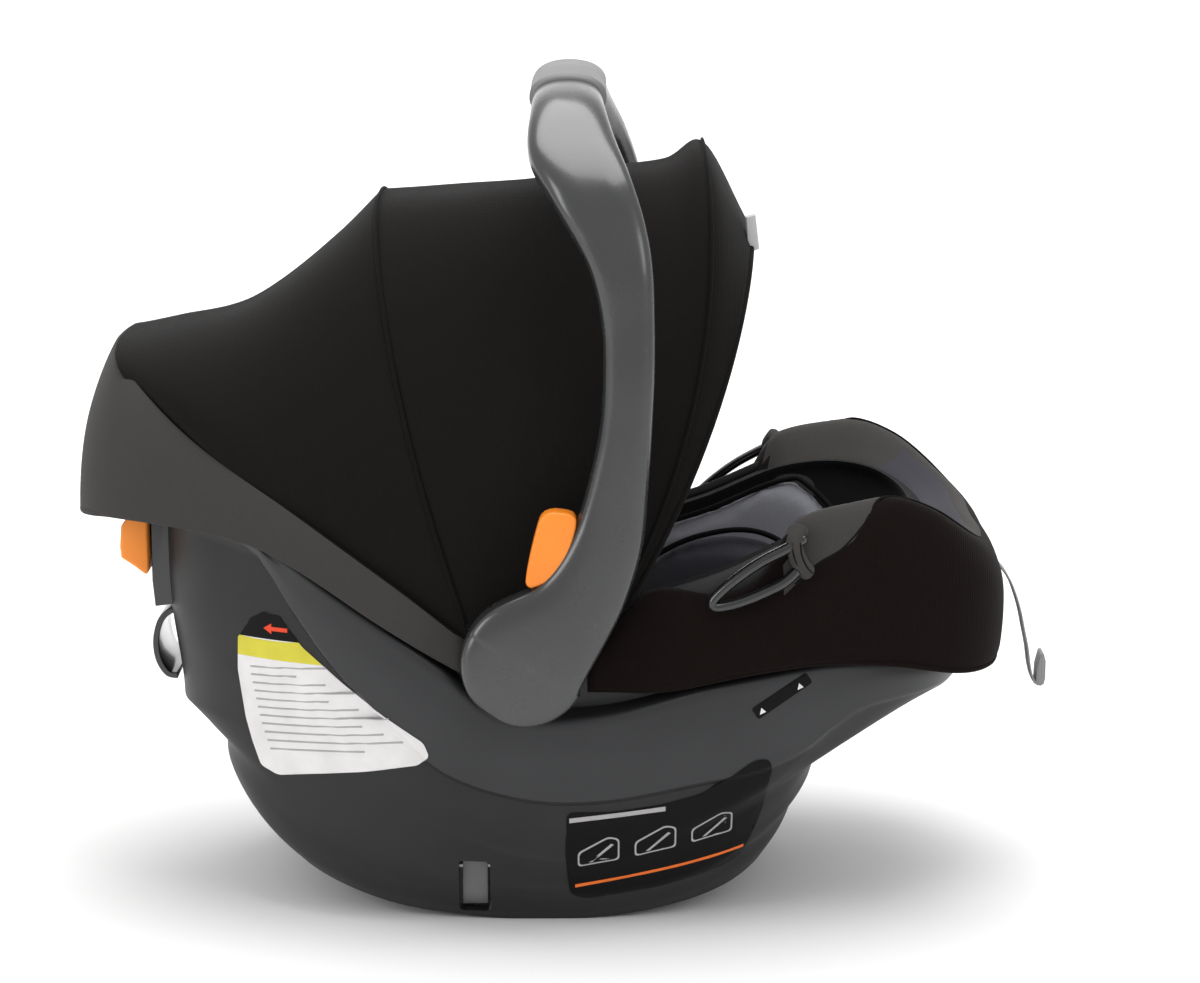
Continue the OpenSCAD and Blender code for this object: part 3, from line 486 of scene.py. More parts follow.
def stacked(name, groups, material, **more):
    """Closed loft through all the rings of the groups."""
    rings = np.concatenate(groups)
    n = rings.shape[1]
    faces = grid_faces(len(rings), n, wrap=True)
    half = n // 2
    for base in (0, (len(rings) - 1) * n):
        faces.append((base, base + 1, base + n - 1))
        faces += [(base + k, base + k + 1, base + n - k - 1, base + n - k) for k in range(1, half - 1)]
        faces.append((base + half - 1, base + half, base + half + 1))
    return piece(name, rings.reshape(-1, 3), faces, material, **more)


def make_shell():
    band = RIM_W + BAND_OUT
    lip = bucket("top", -2, 3)
    rim_edge = ring(-270, 318, RIM_W, RIM_GROW, RIM_Z, -4)
    ledge_edge = ring(-275, 324, band, BAND_GROW, LEDGE_Z, -5)
    style_edge = ring(-274, 322, band - 1, BAND_GROW, STYLE_Z, 1)
    tucked = ring(-273, 319, band - 5.5, BAND_GROW, STYLE_Z, -3)
    inside = between_rings([bucket("floor", 0), bucket("side", 0), bucket("top", 0, 24), lip], 18)
    rim = between_rings([lip, ring(-267, 314, RIM_W - 3, RIM_GROW, RIM_Z, 0.5), rim_edge], 8)
    wall = between_rings([rim_edge, ring(-272, 319, RIM_W + 0.5, RIM_GROW, LEDGE_Z, 3)], 6)
    ledge = between_rings([
        ring(-272, 319, RIM_W + 0.5, RIM_GROW, LEDGE_Z, 2),
        ring(-273, 321, band - 8, BAND_GROW, LEDGE_Z, 0.5),
        ring(-274, 323, band - 2, BAND_GROW, LEDGE_Z, -1.2), ledge_edge], 10)
    side = between_rings([
        ledge_edge, ring(-275, 324, band + 1.5, BAND_GROW, LEDGE_Z, 0, STYLE_Z, 0.5), style_edge], 14)
    tuck = between_rings([style_edge, tucked], 3)
    column = ring(-262, 236, band - 13, BAND_GROW, COLUMN_Z)
    ledge_low = ring(-231, 218, FOOT_W + 18, LEVEL, STEP_Z)
    bowl = ring(-222, 203, FOOT_W + 10, LEVEL, LOW_Z)
    foot = ring(-190, 183, FOOT_W, LEVEL, ROCKER_Z)
    swell = np.array([1.012, 1.012, 1.0])
    lower = between_rings([
        tucked, (0.55 * tucked + 0.45 * column) * swell, 0.14 * tucked + 0.86 * column, column], 26)
    step = between_rings([
        column, 0.45 * column + 0.55 * ledge_low + np.array([0, 0, 0.5]), ledge_low,
        (0.5 * ledge_low + 0.5 * bowl) * swell, bowl, (0.5 * bowl + 0.5 * foot) * swell, foot], 44)
    hollow = ring(-180, 173, FOOT_W - 10, LEVEL, ROCKER_Z)
    under = between_rings([foot, hollow], 3)
    cavity = between_rings([
        hollow, ring(-198, 172, FOOT_W - 6, LEVEL, CAVITY_Z),
        ring(-215, 190, BUCKET_W, LEVEL, FLOOR_Z, -14)], 14)
    groups = [
        inside, rim[1:], wall[1:], ledge, side[1:], tuck[1:], lower[1:], step[1:], under[1:], cavity[1:]]
    shell = stacked("shell_body", groups, SHELL, slot="shell_plastic", replaces=["shell"], sharp=38)
    shell.data.materials.append(SHELL_LOW)
    style = np.array(STYLE_Z, float)
    for poly in shell.data.polygons:
        x, y, z = poly.center / MM
        if z < curve(style, x) - 2 and abs(y) > 20 or z < 60:
            poly.material_index = 1
    for mid_y in (150, -150):
        cut_window(shell, Vector((LATCH_X, mid_y, 29)) * MM, Vector((11.5, 34, 21.5)) * MM)
    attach(shell, "base")
    return shell


def cut_window(obj, middle, half):
    """Cuts a round-cornered window with a box that is deleted afterwards."""
    bpy.ops.mesh.primitive_cube_add(size=2, location=middle)
    cutter = bpy.context.object
    cutter.scale = half
    bpy.ops.object.transform_apply(location=False, rotation=False, scale=True)
    modifier(cutter, "BEVEL", width=0.003, segments=4)
    cut = modifier(obj, "BOOLEAN", operation="DIFFERENCE", object=cutter, solver="EXACT")
    graph = bpy.context.evaluated_depsgraph_get()
    made = bpy.data.meshes.new_from_object(obj.evaluated_get(graph))
    obj.modifiers.remove(cut)
    obj.data = made
    bpy.data.objects.remove(cutter)


shell = make_shell()

# ---- stickers on the shell's near side ----


def patch(name, outline, ink, lift, rounded=0.0):
    """A printed film laid on the shell's near side inside an outline of X and Z."""
    points = np.array(outline, float)
    if rounded:
        soft = []
        for i, p in enumerate(points):
            a, b = points[i - 1], points[(i + 1) % len(points)]
            ra = min(rounded, np.linalg.norm(a - p) / 2.2)
            rb = min(rounded, np.linalg.norm(b - p) / 2.2)
            start = p + (a - p) / np.linalg.norm(a - p) * ra
            end = p + (b - p) / np.linalg.norm(b - p) * rb
            for t in np.linspace(0, 1, 5):
                soft.append((1 - t) ** 2 * start + 2 * t * (1 - t) * p + t * t * end)
        points = np.array(soft)
    lo, hi = points.min(0), points.max(0)
    pitch = 2.0
    inner = [Vector((x, z)) for x in np.arange(lo[0], hi[0], pitch) for z in np.arange(lo[1], hi[1], pitch)]
    count = len(points)
    corners = [Vector(p) for p in points]
    edges = [(i, (i + 1) % count) for i in range(count)]
    made = geometry.delaunay_2d_cdt(corners + inner, edges, [list(range(count))], 1, 1e-4)
    verts = []
    for p in made[0]:
        hit = SHELL_TREE.ray_cast(Vector((p.x, -400, p.y)) * MM, Vector((0, 1, 0)))
        y = hit[0].y / MM if hit[0] else -150
        verts.append((p.x, y - lift - 0.35, p.y))
    return piece(name, verts, made[2], INK[ink], body="base", slot="shell_plastic")


shell_work = bmesh.new()
shell_work.from_mesh(shell.data)
SHELL_TREE = BVHTree.FromBMesh(shell_work)
shell_work.free()


def clipped(outline, z_low, z_high):
    """The part of an outline between two heights."""
    def cut(points, keep, level):
        out = []
        for i, p in enumerate(points):
            q = points[(i + 1) % len(points)]
            if keep(p[1]):
                out.append(p)
            if keep(p[1]) != keep(q[1]):
                t = (level - p[1]) / (q[1] - p[1])
                out.append((p[0] + (q[0] - p[0]) * t, level))
        return out
    return cut(cut(outline, lambda z: z >= z_low, z_low), lambda z: z <= z_high, z_high)


CARE_LABEL = [
    (-200, 223), (-190, 229), (-178, 227), (-161, 206), (-129, 180), (-100, 160), (-73, 143), (-69, 133),
    (-77, 125), (-120, 116), (-182, 106), (-195, 111), (-201, 128), (-206, 146), (-211, 182), (-210, 207)]
LEVEL_LABEL = [
    (29, 92), (60, 92), (98, 97), (126, 104), (148, 118), (163, 129), (174, 130), (177, 122), (172, 84),
    (158, 44), (147, 38), (95, 27), (42, 19), (31, 24), (28, 60)]
PATH_LABEL = [(161, 168), (200, 192.5), (205, 185), (166, 160)]

patch("care_label", CARE_LABEL, "white", 0.25, 3)
patch("care_label_top", clipped(CARE_LABEL, 209, 240), "black", 0.40)
patch("care_label_band", clipped(CARE_LABEL, 194, 209), "yellow", 0.40)
patch("care_label_arrow", [
    (-190, 217), (-184, 221), (-184, 218.5), (-172, 218.5), (-172, 215.5), (-184, 215.5), (-184, 213)],
    "red", 0.55)
for row in range(11):
    z = 187 - row * 6.1
    left = float(np.interp(z, [113, 146, 182], [-183, -194, -201]))
    right = float(np.interp(z, [125, 143, 180, 196], [-88, -88, -137, -152]))
    right -= 14 * ((row * 5) % 3)
    tilt = (right - left) * 0.10
    patch(f"care_label_rule_{row}", [(left, z), (right, z + tilt), (right, z + tilt - 1.5), (left, z - 1.5)],
          "grey", 0.45)
patch("level_label", LEVEL_LABEL, "black", 0.25, 6)
patch("level_line", [(35, 29.5), (158, 52), (158, 54.5), (35, 32)], "orange", 0.45)
for k in range(3):
    x, z = 37 + 41 * k, 48 + 7.5 * k
    patch(f"level_picture_{k}", [(x, z), (x + 30, z + 5.5), (x + 30, z + 23), (x + 22, z + 25), (x, z + 12)],
          "grey", 0.40, 3)
    patch(f"level_picture_inner_{k}", [
        (x + 1.2, z + 1.4), (x + 28.8, z + 6.5), (x + 28.8, z + 22), (x + 22, z + 23.5), (x + 1.2, z + 11)],
        "black", 0.50, 3)
    patch(f"level_picture_belt_{k}", [
        (x + 8, z + 4), (x + 24, z + 19), (x + 26, z + 18), (x + 10.5, z + 4.2)], "grey", 0.60)
patch("level_heading", [(31, 84), (100, 92), (100, 95.5), (31, 87.5)], "grey", 0.45)
patch("path_label", PATH_LABEL, "black", 0.30, 2)
for x, z in ((169, 165.5), (196, 182)):
    patch(f"path_mark_{x}", [(x - 2, z - 2), (x + 2.4, z), (x - 1, z + 3)], "white", 0.50)

# ---- handle ----

# X, Y, Z, half width, half thickness and squareness of an arm, from the hub to the top.
LEAN = np.array([0.59, 0.81])
HUB = [(s * LEAN[0], 200.75, 209 + s * LEAN[1], max(math.sqrt(45 ** 2 - s ** 2), 0.6),
        15.75 * (1 - abs(s / 45.3) ** 8) ** 0.5, 0.42) for s in (-45, -44.2, -42, -38, -32, -24, -14, -3, 10)]
ARM = HUB + [
    (30, 200.4, 241.5, 33, 15, 0.5), (46, 200, 266, 28.3, 14.2, 0.6), (58.5, 200, 298, 25, 13.5, 0.68),
    (66, 200, 337, 21, 13.5, 0.7), (71, 200, 375.5, 18.3, 13.5, 0.72), (73, 200, 412, 18, 13.5, 0.72),
    (72.5, 199, 449, 18.5, 13.5, 0.7), (68, 198, 486, 21.4, 13.5, 0.66), (59.5, 192, 513, 25, 13.5, 0.62),
    (46.5, 180, 540, 28.6, 13.5, 0.6), (34, 155, 563, 31, 13.5, 0.62), (30.5, 115, 586, 26.5, 13.5, 0.75),
    (30, 60, 594, 24, 13.5, 0.9), (30, 0, 596, 24, 13.5, 0.9)]
HANDLE_SIDES = 44
GRIP_HALF = 74


def handle_stations(count):
    """Rows like those of ARM along the whole handle, evenly between the given ones."""
    rows = np.array(ARM, float)
    rows[:, 1] *= -1
    far = rows[-2::-1].copy()
    far[:, 1] *= -1
    every = np.concatenate([rows, far])
    index = np.arange(len(every))
    at = np.linspace(0, len(every) - 1, count)
    return np.stack([curve(np.stack([index, every[:, c]], 1), at) for c in range(6)], 1)


def swept(stations, grow=0.0):
    """Ring of points round each station of the handle."""
    path = stations[:, :3]
    way = unit(np.gradient(path, axis=0))
    wide = unit(np.array([1.0, 0, 0]) - way[:, :1] * way)
    thick = np.cross(way, wide)
    rings = []
    for a in np.linspace(0, 2 * np.pi, HANDLE_SIDES, endpoint=False):
        c = np.sign(np.cos(a)) * np.abs(np.cos(a)) ** stations[:, 5]
        s = np.sign(np.sin(a)) * np.abs(np.sin(a)) ** stations[:, 5]
        rings.append(path + wide * ((stations[:, 3] + grow) * c)[:, None]
                     + thick * ((stations[:, 4] + grow) * s)[:, None])
    return np.stack(rings, 1)


def make_handle():
    rings = swept(handle_stations(260))
    nodes = ["handle_outer", "handle_inner", "handle_hub_left", "handle_hub_right", "hub_cover_left",
             "hub_cover_right"]
    piece("handle_arms", rings.reshape(-1, 3), capped_faces(len(rings), HANDLE_SIDES), HANDLE, body="handle",
          slot="handle_plastic", replaces=nodes, sharp=50)


def make_grip():
    every = handle_stations(900)
    part = every[np.abs(every[:, 1]) < GRIP_HALF]
    ends = np.minimum(part[:, 1] - part[0, 1], part[-1, 1] - part[:, 1])
    puff = 3.2 * np.clip(ends / 2.5, 0, 1) ** 0.5
    rings = swept(part, 0.4)
    outward = swept(part, 1.4) - rings
    rings = rings + outward * puff[:, None, None]
    piece("grip_sleeve", rings.reshape(-1, 3), capped_faces(len(rings), HANDLE_SIDES), GRIP, body="handle",
          slot="grip_rubber", replaces=["handle_grip"], sharp=50)


def rounded_plate(name, outline, y0, y1, material, soft=2.0, **more):
    """A plate with an outline of X and Z, rounded along its edges."""
    count = len(outline)
    verts = [(x, y0, z) for x, z in outline] + [(x, y1, z) for x, z in outline]
    faces = [tuple(range(count)), tuple(range(2 * count - 1, count - 1, -1))]
    faces += [(i, (i + 1) % count, count + (i + 1) % count, count + i) for i in range(count)]
    body = more.pop("body")
    obj = piece(name, verts, faces, material, **more)
    modifier(obj, "BEVEL", width=soft * MM, segments=4, limit_method="ANGLE", angle_limit=math.radians(50))
    apply_modifiers(obj)
    obj.data.set_sharp_from_angle(angle=math.radians(45))
    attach(obj, body)
    return obj


make_handle()
make_grip()
TRIGGER = smooth_path([
    (5, 0, 264), (1.5, 0, 266), (1.5, 0, 272), (4.5, 0, 288), (8.5, 0, 304), (11.5, 0, 313), (16, 0, 317),
    (24, 0, 318), (36, 0, 314), (34, 0, 298), (27, 0, 280), (17, 0, 268)], 40)
ARM_Y = 200
TRIGGER_HALF = 9
for side, label in SIDES:
    rounded_plate(f"trigger_{label}_look", [(p[0], p[2]) for p in TRIGGER], side * ARM_Y - TRIGGER_HALF,
                  side * ARM_Y + TRIGGER_HALF, ORANGE, body=f"trigger_{label}_body", slot="orange_plastic",
                  replaces=[f"trigger_{label}"])

# ---- canopy ----

# Foot X, foot Z, top X, top Z, forward bulge and half width of each arch, front to rear.
ARCHES = np.array([
    (62, 222, 164, 492, 14, 167), (60, 228, 131, 553, 26, 168), (44, 236, 102, 542, 18, 169),
    (30, 242, 55, 536, 8, 170), (10, 232, 0, 527, 0, 170), (-12, 216, -56, 522, -6, 169.5),
    (-34, 205, -110, 517, -10, 169.5), (-64, 220, -148, 484, -8, 169.2), (-116, 256, -212, 437, -4, 168),
    (-198, 316, -270, 421, 0, 156.5), (-284, 384, -303, 412, 0, 100)], float)
MID = 6
REAR = len(ARCHES) - 1
ARCH_ANGLES = np.linspace(0, np.pi, 81)


def arch_points(s, grow=0.0):
    c = reach(ARCH_ANGLES) * np.sin(ARCH_ANGLES)
    y = -(s[5] + grow) * reach(ARCH_ANGLES) * np.cos(ARCH_ANGLES)
    d = s[2:4] - s[0:2]
    lift = grow * c / np.linalg.norm(d)
    push = s[4] * 4 * c * (1 - c)
    return np.stack([s[0] + d[0] * (c + lift) + push, y, s[1] + d[1] * (c + lift)], 1)


def arch_at(f, first, last):
    """Arch at place f between two arches, on a smooth curve through those in between."""
    rows = ARCHES[first:last + 1]
    index = np.arange(first, last + 1)
    return np.array([curve(np.stack([index, rows[:, c]], 1), f) for c in range(6)])


def ruffle(points, size, scale, seed):
    """Soft unevenness of stretched cloth, pushed along the way from the handle axis."""
    out = points.copy()
    for i, p in enumerate(points):
        n = noise.noise(Vector(p) * scale + Vector((seed, 0, 0)))
        way = p - PIVOT * np.array([1, 0, 1]) - np.array([0, p[1] * 0.2, 0])
        out[i] = p + way / np.linalg.norm(way) * n * size
    return out


def canopy_sheet(name, first, last, rows, sag, replaces):
    grid = []
    for f in np.linspace(first, last, rows):
        span = (f - first) / (last - first)
        grid.append(arch_points(arch_at(f, first, last), -sag * math.sin(math.pi * span)))
    verts = ruffle(np.concatenate(grid), 1.6, 0.012, first * 3.1)
    obj = piece(name, verts, grid_faces(rows, len(ARCH_ANGLES)), CANOPY, slot="black_fabric",
                replaces=replaces)
    thicken(obj, 1.6, -1)
    return obj


def seam(name, f, first, last, material, radius, body, grow=0.4):
    pts = arch_points(arch_at(f, first, last), grow)
    return tube(name, pts[2:-2:2], radius, material, sides=8, count=120, body=body, slot="black_fabric")


front = canopy_sheet("canopy_front_cloth", 0, MID, 61, 2.0, ["canopy_front_panel"])
rear = canopy_sheet("canopy_rear_cloth", MID, REAR, 49, 3.0, ["canopy_rear_panel"])
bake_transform(front)
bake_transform(rear)
seam("canopy_mid_seam", MID, 0, MID, PIPING, 1.3, "canopy_mid")
seam("canopy_front_seam", 1.05, 0, MID, PIPING, 1.1, "canopy_front")
seam("canopy_front_hem", 0, 0, MID, CANOPY, 2.2, "canopy_front", grow=-0.6)

TRIM_LOW = [
    (-333, 286), (-322, 291), (-300, 296), (-255, 296), (-199, 287), (-160, 268), (-104, 230), (-61, 203),
    (-46, 194)]
TRIM_HIGH = [(-333, 410), (-302, 410), (-287, 397), (-235, 355), (-165, 308), (-95, 257), (-46, 218)]
TRIM_ROWS, TRIM_COLS = 22, 121


def half_ring(x0, xe, w):
    a = np.linspace(0, np.pi, TRIM_COLS)
    return np.stack([x0 + (xe - x0) * reach(a) * np.sin(a), -w * reach(a) * np.cos(a)], 1)


def make_trim():
    """The heather band round the head end, and the lining from it to the shell's rim."""
    rows = []
    for v in np.linspace(0, 1, TRIM_ROWS):
        plan = half_ring(-44, -333 + 30 * v * v, 171 + 1.8 * math.sin(math.pi * v) - 1.0 * v)
        z = curve(TRIM_LOW, plan[:, 0]) * (1 - v) + curve(TRIM_HIGH, plan[:, 0]) * v
        rows.append(np.column_stack([plan, z]))
    verts = ruffle(np.concatenate(rows), 1.2, 0.014, 5.0)
    obj = piece("canopy_trim_cloth", verts, grid_faces(TRIM_ROWS, TRIM_COLS), HEATHER, slot="heather_fabric",
                replaces=["canopy_trim"])
    thicken(obj, 2.6, 1)
    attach(obj, "base")
    rim = bucket("top", 1)
    start = rows[2] - np.array([0, 0, 1.0])
    gaps = np.linalg.norm(rim[None, :, :2] - start[:, None, :2], axis=2)
    end = rim[np.argmin(gaps, axis=1)] - np.array([0, 0, 6.0])
    lining = start + np.linspace(0, 1, 8)[:, None, None] * (end - start)
    obj = piece("canopy_trim_lining", lining.reshape(-1, 3), grid_faces(8, TRIM_COLS), SKIRT,
                slot="black_fabric")
    thicken(obj, 0.8, 0)
    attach(obj, "base")
    tube("canopy_trim_hem", rows[0][::3] - np.array([0, 0, -1.0]), 2.4, HEATHER, sides=10, count=160,
         body="base", slot="heather_fabric")
    tube("canopy_trim_seam", rows[-1][::3], 1.2, PIPING, sides=8, count=160, body="base", slot="black_fabric")


make_trim()
TAG_X, TAG_Y, TAG_Z = 163.5, -66, 481
rounded_plate("edge_tag", [
    (TAG_X - 3, TAG_Z), (TAG_X + 5, TAG_Z + 3), (TAG_X + 2, TAG_Z + 28), (TAG_X - 5, TAG_Z + 26)],
    TAG_Y - 5, TAG_Y + 5, TAG, soft=0.8, body="canopy_front", slot="tag_fabric", replaces=["canopy_tag"])

# ---- seat cover and padding ----


COVER_LOW = [(56, 183), (96, 183), (124, 188), (167, 197), (216, 203), (266, 199), (316, 188), (352, 184)]
COVER_HIGH = [
    (40, 200), (56, 216), (88, 250), (138, 246), (166, 256), (182, 284), (194, 300), (236, 311),
    (264, 313), (290, 303), (307, 291), (323, 277), (338, 263), (352, 250)]
# Share of the way from the lower to the upper edge, rise, far end and half width of each row.
COVER_ROWS = [
    (0.0, -2, 343, 174), (0.0, 0, 348, 178.5), (0.12, 0, 351, 180), (0.45, 0, 352.5, 181),
    (0.75, 0, 352, 179.5), (0.93, 0, 349, 176), (1.0, 3, 343, 170.5), (1.0, 4, 335, 163),
    (1.0, 1, 325, 154), (1.0, -12, 312, 138), (1.0, -27, 296, 123.5), (1.0, -50, 280, 118),
    (1.0, -76, 264, 113), (1.0, -104, 250, 106)]
# Share of the way up at which the skirt ends and the heather begins.
SEAM_SHARE = [(44, 0.285), (186, 0.27), (203, 0.30), (225, 0.335), (241, 0.43), (257, 0.52), (300, 0.53),
              (352, 0.53)]
COVER_START = 44
COVER_SQUARE = 4.2
SEAM_ROW = 24
HEATHER_FROM = 186
SEAM_FROM = 190
LINING_COLS = (38, 101)
LINING_ROWS = 10


def make_cover():
    """The stretch skirt outside, the heather wings on top, and their lining down to the pad."""
    cols, rows, fine = 141, 76, 400
    a = np.linspace(0, np.pi, cols)
    square = 1 / (np.abs(np.cos(a)) ** COVER_SQUARE + np.abs(np.sin(a)) ** COVER_SQUARE) ** (1 / COVER_SQUARE)
    lines = []
    for v, rise, xe, w in COVER_ROWS:
        plan = np.stack([COVER_START + (xe - COVER_START) * square * np.sin(a), -w * square * np.cos(a)], 1)
        z = curve(COVER_LOW, plan[:, 0]) * (1 - v) + curve(COVER_HIGH, plan[:, 0]) * v
        ends = np.clip((plan[:, 0] - COVER_START) / 120, 0.12, 1)
        lines.append(np.column_stack([plan, z + rise * ends]))
    dense = between_rings(lines, fine)
    # The seam between skirt and heather follows one row of the mesh.
    at_seam = curve(SEAM_SHARE, dense[fine // 2, :, 0])
    share = np.concatenate([np.linspace(0, 1, SEAM_ROW + 1)[:, None] * at_seam,
                            at_seam + np.linspace(0, 1, rows - SEAM_ROW)[1:, None] * (1 - at_seam)])
    place = share * (fine - 1)
    low = np.clip(place.astype(int), 0, fine - 2)
    part = (place - low)[:, :, None]
    column = np.arange(cols)[None, :]
    grid = dense[low, column] * (1 - part) + dense[low + 1, column] * part
    verts = ruffle(grid.reshape(-1, 3), 1.8, 0.016, 9.0)
    obj = piece("seat_cover_cloth", verts, grid_faces(rows, cols), SKIRT, slot="black_fabric",
                replaces=["seat_cover"])
    obj.data.materials.append(HEATHER)
    obj.data.materials.append(CUSHION)
    for number, poly in enumerate(obj.data.polygons):
        row, col = divmod(number, cols - 1)
        if row >= SEAM_ROW and poly.center.x / MM > HEATHER_FROM:
            lined = LINING_COLS[0] <= col <= LINING_COLS[1] and row > SEAM_ROW + LINING_ROWS
            poly.material_index = 2 if lined else 1
    thicken(obj, 2.2, -1)
    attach(obj, "base")
    tube("seat_cover_hem", grid[3][::3], 2.0, SKIRT, sides=10, count=160, body="base", slot="black_fabric")
    edge = grid[SEAM_ROW]
    edge = edge[edge[:, 0] > SEAM_FROM]
    for label, half in (("right", edge[edge[:, 1] < 0]), ("left", edge[edge[:, 1] > 0])):
        tube(f"cover_seam_{label}", half[::2], 0.9, PIPING, sides=8, count=120, body="base",
             slot="black_fabric")


make_cover()


def make_tub(name, outer, inner, drops, flange, material, slot, node):
    """A fitted layer of the bucket; its top may reach out over the layer outside it."""
    outside = [bucket("floor", outer), bucket("side", outer), bucket("top", outer, 24)]
    if flange is not None:
        outside += [bucket("top", outer, 13), bucket("top", outer - 0.5, 11.6), bucket("top", flange, 11.6)]
    outside.append(bucket("top", outer if flange is None else flange, drops[0]))
    inside = between_rings([bucket("floor", inner), bucket("side", inner), bucket("top", inner, 24),
                            bucket("top", inner, drops[1])], 26)
    return stacked(name, [inside, np.stack(outside[::-1])], material, body="base", slot=slot,
                   replaces=[node], sharp=50)


make_tub("foam_tub", 2, 13, (12, 12), None, FOAM, "foam", "foam_liner")
pad = make_tub("seat_pad_cloth", 15, 24, (6, 3.5), 1.2, PAD, "black_fabric", "seat_pad")


def bucket_point(x, g, s):
    """Point of the bucket's surface at x, drawn in by g; s is -1 at the right rim and 1 at the left."""
    def squeeze(xa, xb):
        return max(1 - abs((2 * x - xa - xb) / (xb - xa)) ** 3, 0) ** (1 / 3)
    f1, f2, f3 = squeeze(-222 + g, 262 - g), squeeze(-240 + g, 286 - g), squeeze(-264 + g, 310 - g)
    z = float(curve(FLOOR_Z, x))
    y1, y2 = (BUCKET_W - g) * f1, (BUCKET_W + 18 - g) * f2
    y3 = (RIM_W - 8 - g + float(curve(RIM_GROW, x))) * f3
    z2, z3 = z + 14 + g, float(curve(RIM_Z, x)) - 12
    half = [(0, 0, z + g), (0.3, y1 * 0.55, z + g), (0.5, y1, z + g + 1), (0.64, y2, z2 + 2), (1.0, y3, z3)]
    at = abs(s)
    y = float(curve([(h[0], h[1]) for h in half], at))
    height = float(curve([(h[0], h[2]) for h in half], at))
    return np.array([x, math.copysign(y, s) if s else 0.0, height])


def padded_panel(name, xs, s_of_x, g, thick, material, slot, replaces=(), cap=4.0, columns=14):
    """A closed cushion on the bucket's surface between two edges that depend on x."""
    lower, upper = [], []
    for i, x in enumerate(xs):
        lo, hi = s_of_x(x)
        for j, s in enumerate(np.linspace(lo, hi, columns)):
            edge = min(i, len(xs) - 1 - i) / (len(xs) * 0.12), min(j, columns - 1 - j) / (columns * 0.16)
            full = min(1.0, 0.72 + 0.28 * min(*edge, 1.0))
            lower.append(bucket_point(x, g, s))
            upper.append(bucket_point(x, g + thick * full, s))
    size = len(lower)
    rows = len(xs)
    faces = grid_faces(rows, columns) + [tuple(reversed(f)) for f in grid_faces(rows, columns, start=size)]
    border = ([(i, 0) for i in range(rows)] + [(rows - 1, j) for j in range(1, columns)]
              + [(i, columns - 1) for i in range(rows - 2, -1, -1)]
              + [(0, j) for j in range(columns - 2, 0, -1)])
    ids = [i * columns + j for i, j in border]
    after = ids[1:] + ids[:1]
    faces += [(i, j, size + j, size + i) for i, j in zip(ids, after)]
    obj = piece(name, lower + upper, faces, material, slot=slot, replaces=replaces)
    inflate(obj, cap)
    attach(obj, "base")


INSIDE = 26.5
padded_panel("insert_back", np.linspace(-96, 120, 26), lambda x: (-0.42, 0.42), INSIDE, 14, INSERT,
             "insert_fabric", ["body_cushion"])
padded_panel("head_pillow_look", np.linspace(-188, -122, 14), lambda x: (-0.62, 0.62), INSIDE, 17, INSERT,
             "insert_fabric", ["head_pillow"], cap=6, columns=20)


def arch_top(x, x0, x1, low, high):
    """Height of a half ellipse from x0 to x1, from low up to high."""
    t = (2 * x - x0 - x1) / (x1 - x0)
    return low + (high - low) * math.sqrt(max(0, 1 - t * t))


WING = (40, 256, 0.56)
THIGH = (30, 216, 0.46)
for side, label in SIDES:
    padded_panel(f"insert_wing_{label}", np.linspace(48, 248, 28),
                 lambda x, k=side: tuple(sorted((k * 0.5, k * arch_top(x, *WING, 1.08)))), INSIDE, 13, INSERT,
                 "insert_fabric", cap=3)
    padded_panel(f"thigh_support_{label}", np.linspace(38, 208, 24),
                 lambda x, k=side: tuple(sorted((k * 0.40, k * arch_top(x, *THIGH, 0.93)))), INSIDE + 10, 30,
                 CUSHION, "insert_fabric", cap=3)
    edge = [bucket_point(x, INSIDE + 11, side * arch_top(x, *WING, 1.09)) for x in np.linspace(44, 252, 30)]
    tube(f"insert_piping_{label}", edge, 2.2, PIPING, sides=10, count=90, body="base", slot="black_fabric")
    edge = [bucket_point(x, INSIDE + 36, side * arch_top(x, *THIGH, 0.94)) for x in np.linspace(34, 212, 28)]
    tube(f"thigh_piping_{label}", edge, 2.2, PIPING, sides=10, count=80, body="base", slot="black_fabric")

# ---- harness ----


def strap(name, points, wide, thick, width, material=WEBBING, **more):
    """Flat webbing along points with rounded edges; wide is its width direction at each point."""
    path = smooth_path(points, max(20, len(points) * 6))
    way = unit(np.gradient(path, axis=0))
    across = np.array(wide, float)
    across = unit(across - way * (way @ across)[:, None])
    up = np.cross(across, way)
    w, t = width / 2, thick / 2
    section = [(-w, 0), (-w + t, t), (0, t * 1.15), (w - t, t), (w, 0), (w - t, -t), (0, -t * 0.9),
               (-w + t, -t)]
    rings = [path + across * a + up * b for a, b in section]
    verts = np.stack(rings, 1).reshape(-1, 3)
    return piece(name, verts, capped_faces(len(path), len(section)), material, **more), path


def strap_route(x0, x1, lift, side):
    return [(x, side * (40 - 0.15 * (x + 118)), float(curve(FLOOR_Z, x)) + 44 + lift)
            for x in np.linspace(x0, x1, 12)]


for side, label in SIDES:
    strap(f"harness_strap_{label}_look", strap_route(-118, 30, 1, side), (0, 1, 0), 2.0, 30, body="base",
          slot="webbing", replaces=[f"harness_strap_{label}"])
    sleeve, _ = strap(f"shoulder_pad_{label}_look", strap_route(-104, -42, 5, side), (0, 1, 0), 8.0, 38, PAD,
                      slot="black_fabric", replaces=[f"shoulder_pad_{label}"])
    inflate(sleeve, 2.0, voxel=4.0)
    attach(sleeve, "base")

